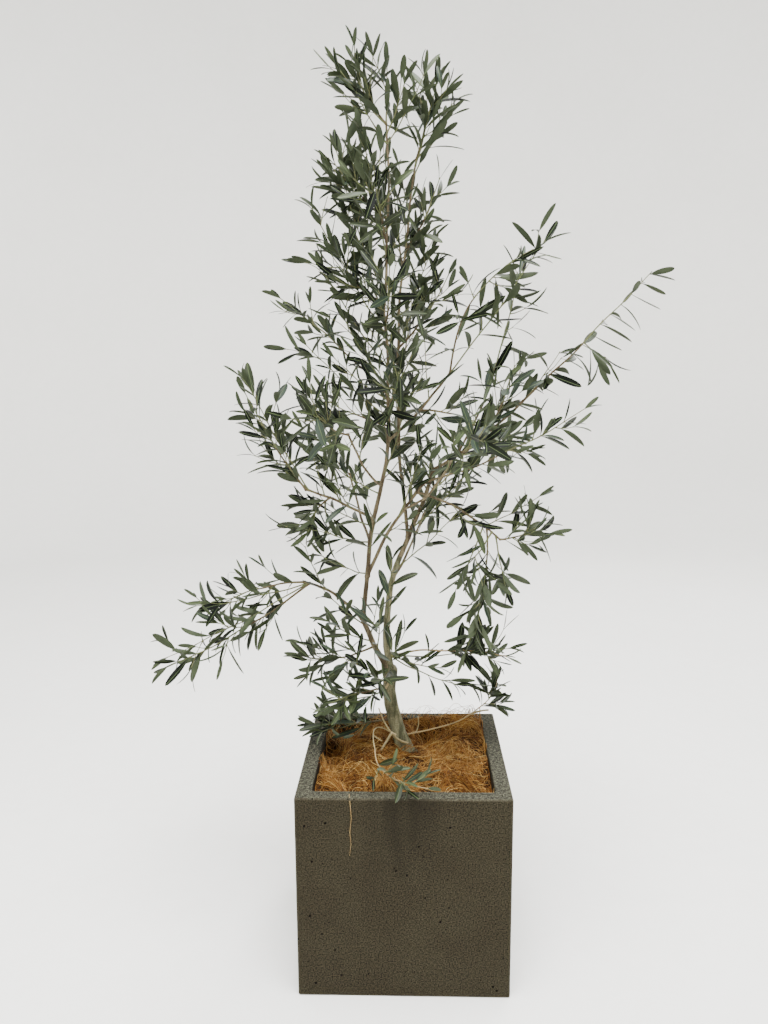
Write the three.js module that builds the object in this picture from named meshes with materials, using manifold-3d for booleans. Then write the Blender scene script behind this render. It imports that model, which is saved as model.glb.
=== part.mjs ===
// Potted olive tree: a young olive with several thin stems in a square fibre-stone planter.
// Millimetres, +Z up. The origin is the centre of the planter's underside, and -Y is the front.

import * as THREE from "three";
import { mergeVertices } from "three/addons/utils/BufferGeometryUtils.js";
import Module from "manifold-3d";

const wasm = await Module();
wasm.setup();

// Planter, soil and mulch
const PLANTER_SIDE = 400;
const PLANTER_HEIGHT = 400;
const RIM_WIDTH = 30;
const PLANTER_FLOOR = 32;
const EDGE_SOFTENING = 2.5;
const CAVITY_CORNER = 6;
const CLEARANCE = 0.3;
const SOIL_TOP = 350;
const MULCH_TOP = 380;
const MULCH_HEAP = 30;
const MULCH_RIPPLE = { height: 3.5, lengths: [19, 43, 23, 37] };
const MULCH_CELLS = 9;
const HOLLOW = { x: -146, y: 38, across: 30, along: 52, depth: 22 };

// Limbs
const LIMB_SIDES = 8;
const THIN_LIMB_SIDES = 6;
const THIN_LIMB = 4.1;
const LIMB_STEP = 64;
const TRUNK_STEP = 18;
const FLARE_HEIGHT = 60;
const BELOW_CUT = 16;
const AXIS_POINTS = 24;

// Twigs and leaves
const TWIG_SIDES = 3;
const STEM_STEP = 120;
const STEM_RADIUS = 2.4;
const STEM_SHARE = 0.95;
const TWIG_RADIUS = 1.5;
const TWIG_TIP_RADIUS = 1.25;
const TWIG_ANGLE = 0.8;
const TWIG_SHORTENING = 0.45;
const TWIG_BARE = 0.3;
const TWIG_RISE = 0.15;
const TWIG_SAG = 0.06;
const TWIG_SHARES = [1, 0.7, 0.45];
const LAST_TWIG_AT = 0.88;
const GOLDEN_ANGLE = 2.39996;
const NODE_SPACING = 53;
const LEAF_ANGLE = 0.82;
const TIP_LEAF_ANGLE = 0.33;
const LEAF_LENGTH = 66;
const LEAF_WIDTH = 0.25;
const LEAF_WIDEST_AT = 0.46;
const LEAF_THICKNESS = 1.6;
const LEAF_DROOP = 0.8;
const LAST_NODE_AT = 0.985;
const SIZE_SPREAD = 0.3;
const ANGLE_SPREAD = 0.4;
const TWIG_TURN_SPREAD = 0.6;
const LEAF_TURN_SPREAD = 0.5;
const LEAF_ROLL_SPREAD = 0.7;
const SHOOT_POINTS = 6;
const LEAF_GAP = 9;
const TWIG_GAP = 4;
const SPACE_MARGIN = 0.04;
const LIMB_MARGIN = 2;
const PLANTER_MARGIN = 4;
const LEAF_MARGIN = 1;

// Each limb grows from a point on an earlier one: `at` is 0 at that limb's foot and 1 at its tip.
// `tip` is where it ends, `bow` how far its middle stands off a straight line, `radii` foot and tip.
const LIMBS = [
  { name: "trunk", foot: [30, 70, SOIL_TOP - BELOW_CUT], tip: [-27, 70, 548], bow: [-22, 0, 0],
    radii: [14, 10.5], flare: 7 },
  { name: "left_stem", on: "trunk", at: 0.97, tip: [-84, 65, 658], bow: [-5, 0, 2], radii: [6.5, 5.2] },
  { name: "right_stem_lower", on: "trunk", at: 1, tip: [-8, 86, 788], bow: [-18, 0, 0], radii: [8, 5.6] },
  { name: "right_stem_upper", on: "right_stem_lower", at: 1, tip: [62, 100, 968], bow: [5, 0, 5],
    radii: [5.5, 3.8] },
  { name: "leader_lower", on: "left_stem", at: 1, tip: [-34, 60, 989], bow: [-8, 0, 0], radii: [5, 4] },
  { name: "leader_middle", on: "leader_lower", at: 1, tip: [-38, 60, 1280], bow: [7, 0, 0], radii: [4, 3] },
  { name: "leader_upper", on: "leader_middle", at: 1, tip: [-31, 60, 1625], bow: [6, 0, 0], radii: [3, 2] },
  { name: "middle_stem", on: "leader_lower", at: 0.28, tip: [44, 32, 951], bow: [-8, 0, 6],
    radii: [3.7, 2.8] },
  { name: "back_upright_lower", on: "right_stem_upper", at: 0.2, tip: [-11, 92, 1181], bow: [-6, 0, 0],
    radii: [3.8, 3] },
  { name: "back_upright_upper", on: "back_upright_lower", at: 1, tip: [26, 90, 1568], bow: [-7, 0, 0],
    radii: [3, 2] },
  { name: "low_left_bough", on: "left_stem", at: 0.95, tip: [-205, 76, 736], bow: [5, 0, 14],
    radii: [3.6, 2.6] },
  { name: "left_bough", on: "leader_lower", at: 0.64, tip: [-195, 42, 934], bow: [-4, 0, 7],
    radii: [3, 2.2] },
  { name: "right_middle_bough", on: "leader_middle", at: 0.14, tip: [92, 58, 1164], bow: [2, 0, -6],
    radii: [2.9, 2.1] },
  { name: "right_arm", on: "right_stem_upper", at: 1, tip: [237, 75, 1106], bow: [2, 0, -10],
    radii: [3.5, 2.5] },
  { name: "right_low_bough", on: "middle_stem", at: 0.88, tip: [190, 15, 838], bow: [0, 0, 14],
    radii: [2.5, 1.9] },
  { name: "front_shoot", on: "trunk", at: 0.27, tip: [-57, -48, 426], bow: [-26, 26, 26], radii: [2.2, 1.6] },
  { name: "back_left_bough", on: "leader_lower", at: 0.5, tip: [-118, 205, 945], bow: [0, 18, -14],
    radii: [3, 2.1] },
  { name: "back_low_bough", on: "right_stem_lower", at: 0.8, tip: [42, 235, 850], bow: [0, 16, -14],
    radii: [3, 2.1] },
  { name: "front_left_bough", on: "leader_lower", at: 0.85, tip: [-100, -75, 1052], bow: [0, -16, -12],
    radii: [2.7, 2] },
  { name: "front_right_bough", on: "middle_stem", at: 0.7, tip: [92, -85, 1012], bow: [4, -14, -14],
    radii: [2.6, 2] },
];

// Each mass of leaves has one stem, which grows from a limb as the limbs do, and keeps within `reach` of it.
// `bare` is the share of the stem with no leaves, `twigs` the number of side twigs and `twig` their length.
// `droop` pulls twigs and leaves down, and `leaf` scales the leaves.
const MASSES = [
  { name: "leaves_top_left", on: "leader_upper", at: 1, tip: [-94, 50, 1722], bow: [-8, 0, 4],
    reach: 94, twigs: 7, twig: 88, seed: 11 },
  { name: "leaves_top_right", on: "back_upright_upper", at: 1, tip: [64, 80, 1700], bow: [0, 0, 0],
    reach: 76, twigs: 6, twig: 70, seed: 13 },
  { name: "leaves_upper_left", on: "leader_upper", at: 0.5, tip: [-128, 42, 1552], bow: [0, 0, -8],
    reach: 80, twigs: 6, twig: 76, seed: 14 },
  { name: "leaves_upper_front", on: "leader_upper", at: 0.38, tip: [-50, -84, 1520], bow: [0, -10, -12],
    reach: 80, twigs: 6, twig: 76, seed: 15 },
  { name: "leaves_upper_back", on: "back_upright_upper", at: 0.48, tip: [-18, 205, 1520], bow: [0, 8, -14],
    reach: 84, twigs: 6, twig: 78, seed: 16 },
  { name: "leaves_upper_right", on: "back_upright_upper", at: 0.56, tip: [70, 62, 1528], bow: [4, 0, -6],
    reach: 62, twigs: 3, twig: 54, leaf: 0.9, seed: 17 },
  { name: "leaves_high_left", on: "leader_upper", at: 0.05, tip: [-136, 40, 1386], bow: [-4, 0, -10],
    reach: 80, twigs: 6, twig: 76, seed: 18 },
  { name: "leaves_high_right", on: "back_upright_upper", at: 0.08, tip: [88, 66, 1350], bow: [4, 0, -8],
    reach: 78, twigs: 6, twig: 72, seed: 19 },
  { name: "leaves_high_front", on: "leader_middle", at: 0.88, tip: [-22, -114, 1346], bow: [0, -12, -14],
    reach: 88, twigs: 6, twig: 80, seed: 20 },
  { name: "leaves_high_back", on: "back_upright_lower", at: 0.92, tip: [22, 262, 1322], bow: [0, 10, -16],
    reach: 92, twigs: 6, twig: 84, seed: 21 },
  { name: "leaves_left_spray", on: "leader_middle", at: 0.45, tip: [-246, 96, 1312], bow: [6, 0, 4],
    reach: 56, bare: 0.42, twigs: 4, twig: 50, leaf: 0.85, seed: 22 },
  { name: "leaves_centre_left", on: "leader_middle", at: 0.24, tip: [-172, 48, 1122], bow: [0, 0, -6],
    reach: 78, twigs: 6, twig: 72, seed: 23 },
  { name: "leaves_centre_front", on: "leader_middle", at: 0.36, tip: [-2, -130, 1190], bow: [0, -10, -14],
    reach: 88, twigs: 6, twig: 80, seed: 24 },
  { name: "leaves_centre_back", on: "back_upright_lower", at: 0.55, tip: [-18, 292, 1138], bow: [0, 10, -18],
    reach: 94, twigs: 6, twig: 88, seed: 25 },
  { name: "leaves_right_arch", on: "right_middle_bough", at: 1, tip: [246, 36, 1392], bow: [-32, 0, 26],
    reach: 58, twigs: 5, twig: 50, leaf: 0.9, droop: 0.15, seed: 27 },
  { name: "leaves_right_tall", on: "right_arm", at: 0.26, tip: [226, 106, 1358], bow: [16, 0, -10],
    reach: 56, bare: 0.2, twigs: 4, twig: 48, leaf: 0.9, seed: 28 },
  { name: "leaves_long_right", on: "right_arm", at: 1, tip: [455, 44, 1305], bow: [-4, 0, -8],
    reach: 76, twigs: 5, twig: 62, leaf: 1.05, droop: 0.55, seed: 29 },
  { name: "leaves_right_inner", on: "right_arm", at: 0.62, tip: [212, 8, 1176], bow: [0, -8, -4],
    reach: 66, twigs: 5, twig: 58, seed: 30 },
  { name: "leaves_right_centre", on: "right_middle_bough", at: 0.5, tip: [158, 8, 1062], bow: [0, -6, 8],
    reach: 66, twigs: 4, twig: 58, seed: 49 },
  { name: "leaves_right_back", on: "right_arm", at: 0.5, tip: [238, 222, 1010], bow: [0, 6, 6],
    reach: 84, twigs: 6, twig: 80, seed: 31 },
  { name: "leaves_right_reach", on: "middle_stem", at: 1, tip: [350, 8, 1096], bow: [0, 0, -16],
    reach: 60, bare: 0.18, twigs: 5, twig: 58, leaf: 0.95, seed: 32 },
  { name: "leaves_right_low", on: "right_low_bough", at: 1, tip: [266, 12, 866], bow: [0, 0, -6],
    reach: 66, twigs: 5, twig: 58, seed: 33 },
  { name: "leaves_hanging", on: "right_low_bough", at: 0.84, tip: [122, -16, 616], bow: [14, 0, 0],
    reach: 66, bare: 0.2, twigs: 6, twig: 58, droop: 0.35, seed: 34 },
  { name: "leaves_low_right", on: "right_stem_lower", at: 0.12, tip: [205, -2, 604], bow: [-12, 0, 14],
    reach: 56, bare: 0.55, twigs: 4, twig: 50, leaf: 0.9, seed: 35 },
  { name: "leaves_basal_right", on: "trunk", at: 0.33, tip: [194, 60, 532], bow: [22, 0, -34],
    reach: 52, bare: 0.66, twigs: 3, twig: 42, leaf: 0.85, seed: 36 },
  { name: "leaves_front_rim", on: "front_shoot", at: 1, tip: [46, -194, 418], bow: [-26, -24, 0],
    reach: 54, bare: 0.3, twigs: 5, twig: 44, leaf: 0.75, seed: 37 },
  { name: "leaves_basal_left", on: "trunk", at: 0.5, tip: [-188, 44, 440], bow: [0, 0, -6],
    reach: 66, bare: 0.28, twigs: 6, twig: 64, leaf: 0.95, seed: 38 },
  { name: "leaves_low_left_cluster", on: "left_stem", at: 0.5, tip: [-208, 40, 588], bow: [0, 0, -14],
    reach: 80, bare: 0.2, twigs: 7, twig: 76, seed: 39 },
  { name: "leaves_low_centre", on: "trunk", at: 0.82, tip: [-150, -28, 512], bow: [0, 0, 6],
    reach: 70, bare: 0.2, twigs: 5, twig: 62, leaf: 0.9, seed: 48 },
  { name: "leaves_low_left_high", on: "low_left_bough", at: 1, tip: [-400, 92, 676], bow: [0, 0, 14],
    reach: 60, twigs: 5, twig: 54, leaf: 0.9, seed: 40 },
  { name: "leaves_low_left_reach", on: "low_left_bough", at: 0.93, tip: [-488, 16, 570], bow: [10, 0, -8],
    reach: 66, bare: 0.2, twigs: 6, twig: 62, leaf: 1.05, droop: 0.2, seed: 41 },
  { name: "leaves_left_outer", on: "left_bough", at: 1, tip: [-306, 14, 1128], bow: [0, 0, -10],
    reach: 76, twigs: 6, twig: 70, seed: 42 },
  { name: "leaves_left_inner", on: "left_bough", at: 0.62, tip: [-206, 66, 846], bow: [0, 0, 8],
    reach: 76, twigs: 5, twig: 66, seed: 43 },
  { name: "leaves_back_left", on: "back_left_bough", at: 1, tip: [-205, 292, 1050], bow: [0, 6, -14],
    reach: 92, twigs: 6, twig: 86, seed: 44 },
  { name: "leaves_back_low", on: "back_low_bough", at: 1, tip: [88, 318, 945], bow: [0, 8, -12],
    reach: 92, twigs: 6, twig: 86, seed: 45 },
  { name: "leaves_front_left", on: "front_left_bough", at: 1, tip: [-160, -188, 1116], bow: [0, -8, -12],
    reach: 84, twigs: 6, twig: 78, seed: 46 },
  { name: "leaves_front_right", on: "front_right_bough", at: 1, tip: [142, -186, 1076], bow: [0, -8, -12],
    reach: 84, twigs: 6, twig: 78, seed: 47 },
];

// Finishes
const FINISHES = {
  planter: new THREE.MeshStandardMaterial({ color: 0x6b665c, roughness: 0.92, metalness: 0 }),
  soil: new THREE.MeshStandardMaterial({ color: 0x2c241c, roughness: 1, metalness: 0 }),
  coir: new THREE.MeshStandardMaterial({ color: 0xa8712f, roughness: 0.95, metalness: 0 }),
  bark: new THREE.MeshStandardMaterial({ color: 0x75735f, roughness: 0.85, metalness: 0 }),
  leaves: new THREE.MeshStandardMaterial({ color: 0x48573f, roughness: 0.6, metalness: 0 }),
};

const UP = new THREE.Vector3(0, 0, 1);
const BACK = new THREE.Vector3(0, 1, 0);

const vector = (numbers) => new THREE.Vector3(...numbers);

// Numbers from 0 to 1 that are the same on every run for the same seed.
function seeded(seed) {
  const MODULUS = 2147483647;
  let state = (seed * 48271) % MODULUS;
  return () => {
    state = (state * 16807) % MODULUS;
    return state / MODULUS;
  };
}

// A number within half of `spread` either side of 0, or of 1.
const aroundZero = (random, spread) => spread * (random() - 0.5);
const aroundOne = (random, spread) => 1 + aroundZero(random, spread);

// A solid from a closed geometry: only its positions are kept, with shared corners merged.
function solidFrom(geometry) {
  const bare = new THREE.BufferGeometry();
  bare.setAttribute("position", geometry.getAttribute("position"));
  bare.setIndex(geometry.index);
  const merged = mergeVertices(bare, 1e-4);
  return new wasm.Manifold(
    new wasm.Mesh({
      numProp: 3,
      vertProperties: new Float32Array(merged.attributes.position.array),
      triVerts: new Uint32Array(merged.index.array),
    }),
  );
}

// The biggest closed body of a solid, so that loose scraps and sealed hollows are left out.
function mainBody(solid) {
  return solid.decompose().reduce((best, body) => (body.volume() > best.volume() ? body : best));
}

function geometryFrom(solid) {
  const mesh = solid.getMesh();
  const geometry = new THREE.BufferGeometry();
  geometry.setAttribute("position", new THREE.BufferAttribute(mesh.vertProperties, 3));
  geometry.setIndex(new THREE.BufferAttribute(mesh.triVerts, 1));
  geometry.computeVertexNormals();
  return geometry;
}

// Corners and triangles as an indexed geometry.
function facetedGeometry(corners, triangles) {
  const geometry = new THREE.BufferGeometry();
  const numbers = corners.flatMap((corner) => corner.toArray());
  geometry.setAttribute("position", new THREE.Float32BufferAttribute(numbers, 3));
  geometry.setIndex(triangles);
  return geometry;
}

// The curve of a limb or stem: from foot to tip, with its middle `bow` off the straight line.
function bowedCurve(foot, tip, bow) {
  const middle = foot.clone().add(tip).multiplyScalar(0.5).addScaledVector(bow, 2);
  return new THREE.QuadraticBezierCurve3(foot, middle, tip);
}

// Two directions square to `along`, which turn smoothly on a curve whose chord is given.
function crossAxes(along, chord) {
  const steep = Math.abs(chord.z) > 0.8 * chord.length();
  const side = along.clone().cross(steep ? BACK : UP).normalize();
  return { side, over: side.clone().cross(along).normalize() };
}

// A tapering limb along a curve: rings of corners square to it, and a flat cut at each end.
function limbGeometry(curve, radiusAt, sides, steps) {
  const chord = curve.v2.clone().sub(curve.v0);
  const corners = [];
  const triangles = [];
  for (let i = 0; i <= steps; i++) {
    const t = i / steps;
    const { side, over } = crossAxes(curve.getTangent(t), chord);
    for (let j = 0; j < sides; j++) {
      const turn = (2 * Math.PI * j) / sides;
      const corner = curve.getPoint(t);
      corner.addScaledVector(side, -radiusAt(t) * Math.cos(turn));
      corner.addScaledVector(over, radiusAt(t) * Math.sin(turn));
      corners.push(corner);
    }
  }
  for (let i = 0; i < steps; i++) {
    for (let j = 0; j < sides; j++) {
      const here = i * sides + j;
      const beside = i * sides + ((j + 1) % sides);
      triangles.push(here, beside, beside + sides, here, beside + sides, here + sides);
    }
  }
  const last = steps * sides;
  for (let j = 1; j < sides - 1; j++) triangles.push(0, j + 1, j, last, last + j, last + j + 1);
  return facetedGeometry(corners, triangles);
}

// A leaf blade: pointed at its root and tip, widest near its middle, flat below and ridged above.
function leafGeometry({ root, tip, across, face, width }) {
  const middle = root.clone().lerp(tip, LEAF_WIDEST_AT);
  const corners = [
    root,
    tip,
    middle.clone().addScaledVector(across, width / 2),
    middle.clone().addScaledVector(across, -width / 2),
    middle.clone().addScaledVector(face, LEAF_THICKNESS),
  ];
  const [start, end, left, right, ridge] = [0, 1, 2, 3, 4];
  const triangles = [
    start, left, ridge, start, ridge, right, end, ridge, left, end, right, ridge,
    start, right, left, end, left, right,
  ];
  return facetedGeometry(corners, triangles);
}

// Limbs: each gets its curve and its radius along it.
const limbs = new Map();
for (const row of LIMBS) {
  const parent = limbs.get(row.on);
  const foot = parent ? parent.curve.getPoint(row.at) : vector(row.foot);
  const curve = bowedCurve(foot, vector(row.tip), vector(row.bow));
  const [footRadius, tipRadius] = row.radii;
  const length = curve.getLength();
  const radiusAt = (t) => {
    const flare = (row.flare ?? 0) * Math.max(0, 1 - (t * length) / FLARE_HEIGHT) ** 2;
    return footRadius + (tipRadius - footRadius) * t + flare;
  };
  limbs.set(row.name, { ...row, curve, length, radiusAt });
}

// A limb's solid, grown all round and past its tip by `extra`.
function limbSolid(limb, extra = 0) {
  const sides = limb.radiusAt(0) > THIN_LIMB ? LIMB_SIDES : THIN_LIMB_SIDES;
  const steps = Math.max(3, Math.round(limb.length / (limb.flare ? TRUNK_STEP : LIMB_STEP)));
  const { v0: foot, v2: tip } = limb.curve;
  const pastTip = tip.clone().addScaledVector(limb.curve.getTangent(1), extra);
  const middle = limb.curve.v1;
  const curve = new THREE.QuadraticBezierCurve3(foot, middle, pastTip);
  const grown = extra / Math.cos(Math.PI / sides);
  return solidFrom(limbGeometry(curve, (t) => limb.radiusAt(t) + grown, sides, steps));
}

// Masses: each gets the curve of its stem.
const masses = MASSES.map((row) => {
  const parent = limbs.get(row.on);
  const curve = bowedCurve(parent.curve.getPoint(row.at), vector(row.tip), vector(row.bow));
  const startRadius = Math.min(STEM_RADIUS, STEM_SHARE * parent.radiusAt(row.at));
  return { bare: 0.12, droop: 0, leaf: 1, ...row, curve, startRadius };
});

// Points along each limb and stem, for distances to it.
for (const growth of [...limbs.values(), ...masses]) {
  growth.axis = growth.curve.getPoints(AXIS_POINTS);
}

// The distance from a point to the line through an axis, and how far along the axis that is.
function toAxis(point, axis) {
  let nearest = { distance: Infinity, t: 0 };
  const span = new THREE.Line3();
  const foot = new THREE.Vector3();
  for (let i = 0; i < axis.length - 1; i++) {
    span.set(axis[i], axis[i + 1]);
    const along = span.closestPointToPointParameter(point, true);
    const distance = span.at(along, foot).distanceTo(point);
    if (distance < nearest.distance) nearest = { distance, t: (i + along) / (axis.length - 1) };
  }
  return nearest;
}

// The top of the coir mulch: rippled, heaped up at the right back corner, hollow at the left wall.
function mulchHeight(x, y) {
  const half = PLANTER_SIDE / 2 - RIM_WIDTH;
  const corner = Math.max(0, (x + y) / (2 * half));
  const heap = MULCH_HEAP * corner ** 2;
  const [first, second, third, fourth] = MULCH_RIPPLE.lengths;
  const waves = Math.sin(x / first + y / second) + Math.cos(y / third - x / fourth);
  const away = ((x - HOLLOW.x) / HOLLOW.across) ** 2 + ((y - HOLLOW.y) / HOLLOW.along) ** 2;
  return MULCH_TOP + heap + MULCH_RIPPLE.height * waves - HOLLOW.depth * Math.exp(-away);
}

function clearOfPlanter(point) {
  const beside = PLANTER_SIDE / 2 + PLANTER_MARGIN;
  if (Math.abs(point.x) > beside || Math.abs(point.y) > beside) return true;
  const top = Math.max(PLANTER_HEIGHT, mulchHeight(point.x, point.y) + MULCH_RIPPLE.height);
  return point.z > top + PLANTER_MARGIN;
}

// A mass's own space: within reach of its stem, nearer to it than to any other for its size,
// and clear of every limb and of the planter.
function inOwnSpace(point, mass) {
  const own = toAxis(point, mass.axis).distance / mass.reach;
  if (own > 1 || !clearOfPlanter(point)) return false;
  for (const other of masses) {
    if (other === mass) continue;
    if (toAxis(point, other.axis).distance / other.reach < own + SPACE_MARGIN) return false;
  }
  for (const limb of limbs.values()) {
    const { distance, t } = toAxis(point, limb.axis);
    if (distance < limb.radiusAt(t) + LIMB_MARGIN) return false;
  }
  return true;
}

// Side twigs of a stem, turned round it by the golden angle and shorter towards its tip.
function twigsOf(mass) {
  const random = seeded(mass.seed);
  const chord = mass.curve.v2.clone().sub(mass.curve.v0);
  const twigs = [];
  for (let k = 0; k < mass.twigs; k++) {
    const t = mass.bare + ((LAST_TWIG_AT - mass.bare) * (k + 0.5)) / mass.twigs;
    const turn = mass.seed + k * GOLDEN_ANGLE + aroundZero(random, TWIG_TURN_SPREAD);
    const lean = TWIG_ANGLE * aroundOne(random, SIZE_SPREAD);
    const reach = mass.twig * (1 - TWIG_SHORTENING * t) * aroundOne(random, SIZE_SPREAD);
    const foot = mass.curve.getPoint(t);
    const along = mass.curve.getTangent(t);
    const { side, over } = crossAxes(along, chord);
    const way = along.multiplyScalar(Math.cos(lean));
    way.addScaledVector(side, Math.sin(lean) * Math.cos(turn));
    way.addScaledVector(over, Math.sin(lean) * Math.sin(turn));
    way.addScaledVector(UP, TWIG_RISE - mass.droop).normalize();
    for (const share of TWIG_SHARES) {
      const tip = foot.clone().addScaledVector(way, reach * share);
      const bow = UP.clone().multiplyScalar(-TWIG_SAG * reach * share);
      const curve = bowedCurve(foot, tip, bow);
      if ([0.5, 0.75, 1].every((u) => inOwnSpace(curve.getPoint(u), mass))) {
        const seed = mass.seed * 100 + k;
        twigs.push({ curve, seed, bare: TWIG_BARE, startRadius: TWIG_RADIUS });
        break;
      }
    }
  }
  return twigs;
}

// One leaf from a node, leaning from the shoot's direction towards `out`, its face to the shoot's tip.
function leafAt(mass, node, along, out, angle, size, roll) {
  const way = along.clone().multiplyScalar(Math.cos(angle)).addScaledVector(out, Math.sin(angle));
  way.addScaledVector(UP, -LEAF_DROOP * mass.droop).normalize();
  const across = out.clone().cross(along).applyAxisAngle(way, roll);
  across.addScaledVector(way, -across.dot(way)).normalize();
  const face = across.clone().cross(way);
  const length = LEAF_LENGTH * mass.leaf * size;
  const tip = node.clone().addScaledVector(way, length);
  return { root: node, tip, across, face, width: LEAF_WIDTH * length };
}

function leafFits(leaf, mass) {
  const middle = leaf.root.clone().lerp(leaf.tip, LEAF_WIDEST_AT);
  const half = leaf.width / 2 + LEAF_MARGIN;
  return [
    leaf.root.clone().lerp(leaf.tip, 0.25),
    middle.clone().addScaledVector(leaf.across, half),
    middle.clone().addScaledVector(leaf.across, -half),
    leaf.root.clone().lerp(leaf.tip, 0.75),
    leaf.root.clone().lerp(leaf.tip, 1.03),
  ].every((point) => inOwnSpace(point, mass));
}

// Whether a leaf passes too near to a line, as another leaf's midline or a twig, away from its own root.
function leafMeets(leaf, start, end, gap) {
  const line = new THREE.Line3(start, end);
  const nearest = new THREE.Vector3();
  return [0.3, 0.5, 0.7, 0.85, 1].some((share) => {
    const point = leaf.root.clone().lerp(leaf.tip, share);
    return line.closestPointToPoint(point, true, nearest).distanceTo(point) < gap;
  });
}

// Leaves in opposite pairs, each pair turned a quarter from the last, and a pair at the shoot's tip.
function leavesOf(shoot, mass) {
  const random = seeded(shoot.seed + 7);
  const chord = shoot.curve.v2.clone().sub(shoot.curve.v0);
  const nodes = Math.max(1, Math.round((shoot.curve.getLength() * (1 - shoot.bare)) / NODE_SPACING));
  const leaves = [];
  for (let i = 0; i <= nodes; i++) {
    const t = shoot.bare + ((1 - shoot.bare) * i) / nodes;
    const node = shoot.curve.getPoint(Math.min(t, LAST_NODE_AT));
    const along = shoot.curve.getTangent(t);
    const { side, over } = crossAxes(along, chord);
    const turn = shoot.seed + (i * Math.PI) / 2 + aroundZero(random, LEAF_TURN_SPREAD);
    for (const opposite of [0, Math.PI]) {
      const spread = (i === nodes ? TIP_LEAF_ANGLE : LEAF_ANGLE) * aroundOne(random, ANGLE_SPREAD);
      const size = aroundOne(random, SIZE_SPREAD);
      const roll = aroundZero(random, LEAF_ROLL_SPREAD);
      const out = side.clone().multiplyScalar(Math.cos(turn + opposite));
      out.addScaledVector(over, Math.sin(turn + opposite));
      leaves.push(leafAt(mass, node, along, out, spread, size, roll));
    }
  }
  return leaves.filter((leaf) => leafFits(leaf, mass));
}

// The leaves of a mass that keep clear of its shoots and of each other.
function clearLeaves(shoots, mass) {
  const kept = [];
  for (const leaf of shoots.flatMap((shoot) => leavesOf(shoot, mass))) {
    const meetsShoot = shoots.some(({ curve }) => {
      const line = curve.getPoints(SHOOT_POINTS);
      return line.slice(1).some((point, i) => leafMeets(leaf, line[i], point, TWIG_GAP));
    });
    const meetsLeaf = kept.some((other) => leafMeets(leaf, other.root, other.tip, LEAF_GAP));
    if (!meetsShoot && !meetsLeaf) kept.push(leaf);
  }
  return kept;
}

function shootSolid(shoot) {
  const steps = Math.round(shoot.curve.getLength() / STEM_STEP) + 1;
  const radiusAt = (t) => shoot.startRadius + (TWIG_TIP_RADIUS - shoot.startRadius) * t;
  return solidFrom(limbGeometry(shoot.curve, radiusAt, TWIG_SIDES, steps));
}

// A mass: its stem, twigs and leaves fused, then cut 0.3 mm clear of the limbs.
function massSolid(mass, limbsToClear) {
  const shoots = [mass, ...twigsOf(mass)];
  const leaves = clearLeaves(shoots, mass);
  const pieces = [...shoots.map(shootSolid), ...leaves.map((leaf) => solidFrom(leafGeometry(leaf)))];
  return mainBody(wasm.Manifold.union(pieces).subtract(limbsToClear));
}

// Planter: a square block with softened edges, hollow down to its floor.
function roundedSquare(side, radius) {
  const half = side / 2;
  const shape = new THREE.Shape();
  shape.moveTo(-half + radius, -half);
  for (const [x, y, start] of [[1, -1, -0.5], [1, 1, 0], [-1, 1, 0.5], [-1, -1, 1]]) {
    const from = start * Math.PI;
    shape.absarc(x * (half - radius), y * (half - radius), radius, from, from + Math.PI / 2, false);
  }
  return shape;
}

function planterGeometry() {
  const outline = roundedSquare(PLANTER_SIDE - 2 * EDGE_SOFTENING, EDGE_SOFTENING);
  const block = new THREE.ExtrudeGeometry(outline, {
    depth: PLANTER_HEIGHT - 2 * EDGE_SOFTENING,
    bevelThickness: EDGE_SOFTENING,
    bevelSize: EDGE_SOFTENING,
    bevelSegments: 1,
    curveSegments: 2,
  });
  block.translate(0, 0, EDGE_SOFTENING);
  const cavity = new THREE.ExtrudeGeometry(roundedSquare(PLANTER_SIDE - 2 * RIM_WIDTH, CAVITY_CORNER), {
    depth: PLANTER_HEIGHT,
    bevelEnabled: false,
    curveSegments: 3,
  });
  cavity.translate(0, 0, PLANTER_FLOOR);
  return geometryFrom(solidFrom(block).subtract(solidFrom(cavity)));
}

function soilGeometry() {
  const side = PLANTER_SIDE - 2 * (RIM_WIDTH + CLEARANCE);
  return new THREE.ExtrudeGeometry(roundedSquare(side, CAVITY_CORNER), {
    depth: SOIL_TOP - PLANTER_FLOOR - CLEARANCE,
    bevelEnabled: false,
    curveSegments: 3,
  });
}

// Mulch: a rippled slab from the soil up, with a hole round everything that stands in it.
function mulchGeometry(standing) {
  const side = PLANTER_SIDE - 2 * (RIM_WIDTH + CLEARANCE);
  const slab = new THREE.BoxGeometry(side, side, 1, MULCH_CELLS, MULCH_CELLS, 1);
  const corners = slab.getAttribute("position");
  for (let i = 0; i < corners.count; i++) {
    const top = corners.getZ(i) > 0;
    corners.setZ(i, top ? mulchHeight(corners.getX(i), corners.getY(i)) : SOIL_TOP + CLEARANCE);
  }
  const frame = new THREE.ExtrudeGeometry(roundedSquare(side, CAVITY_CORNER), {
    depth: PLANTER_HEIGHT,
    bevelEnabled: false,
    curveSegments: 3,
  });
  frame.translate(0, 0, PLANTER_FLOOR);
  const holes = wasm.Manifold.union(standing.map((limb) => limbSolid(limb, CLEARANCE)));
  return geometryFrom(mainBody(solidFrom(slab).intersect(solidFrom(frame)).subtract(holes)));
}

function named(name, geometry, finish) {
  const mesh = new THREE.Mesh(geometry, finish);
  mesh.name = name;
  return mesh;
}

const pot = new THREE.Group();
pot.add(named("planter", planterGeometry(), FINISHES.planter));
const soil = named("soil", soilGeometry(), FINISHES.soil);
soil.position.z = PLANTER_FLOOR + CLEARANCE;
pot.add(soil);
pot.add(named("coir_mulch", mulchGeometry([limbs.get("trunk")]), FINISHES.coir));

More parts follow.
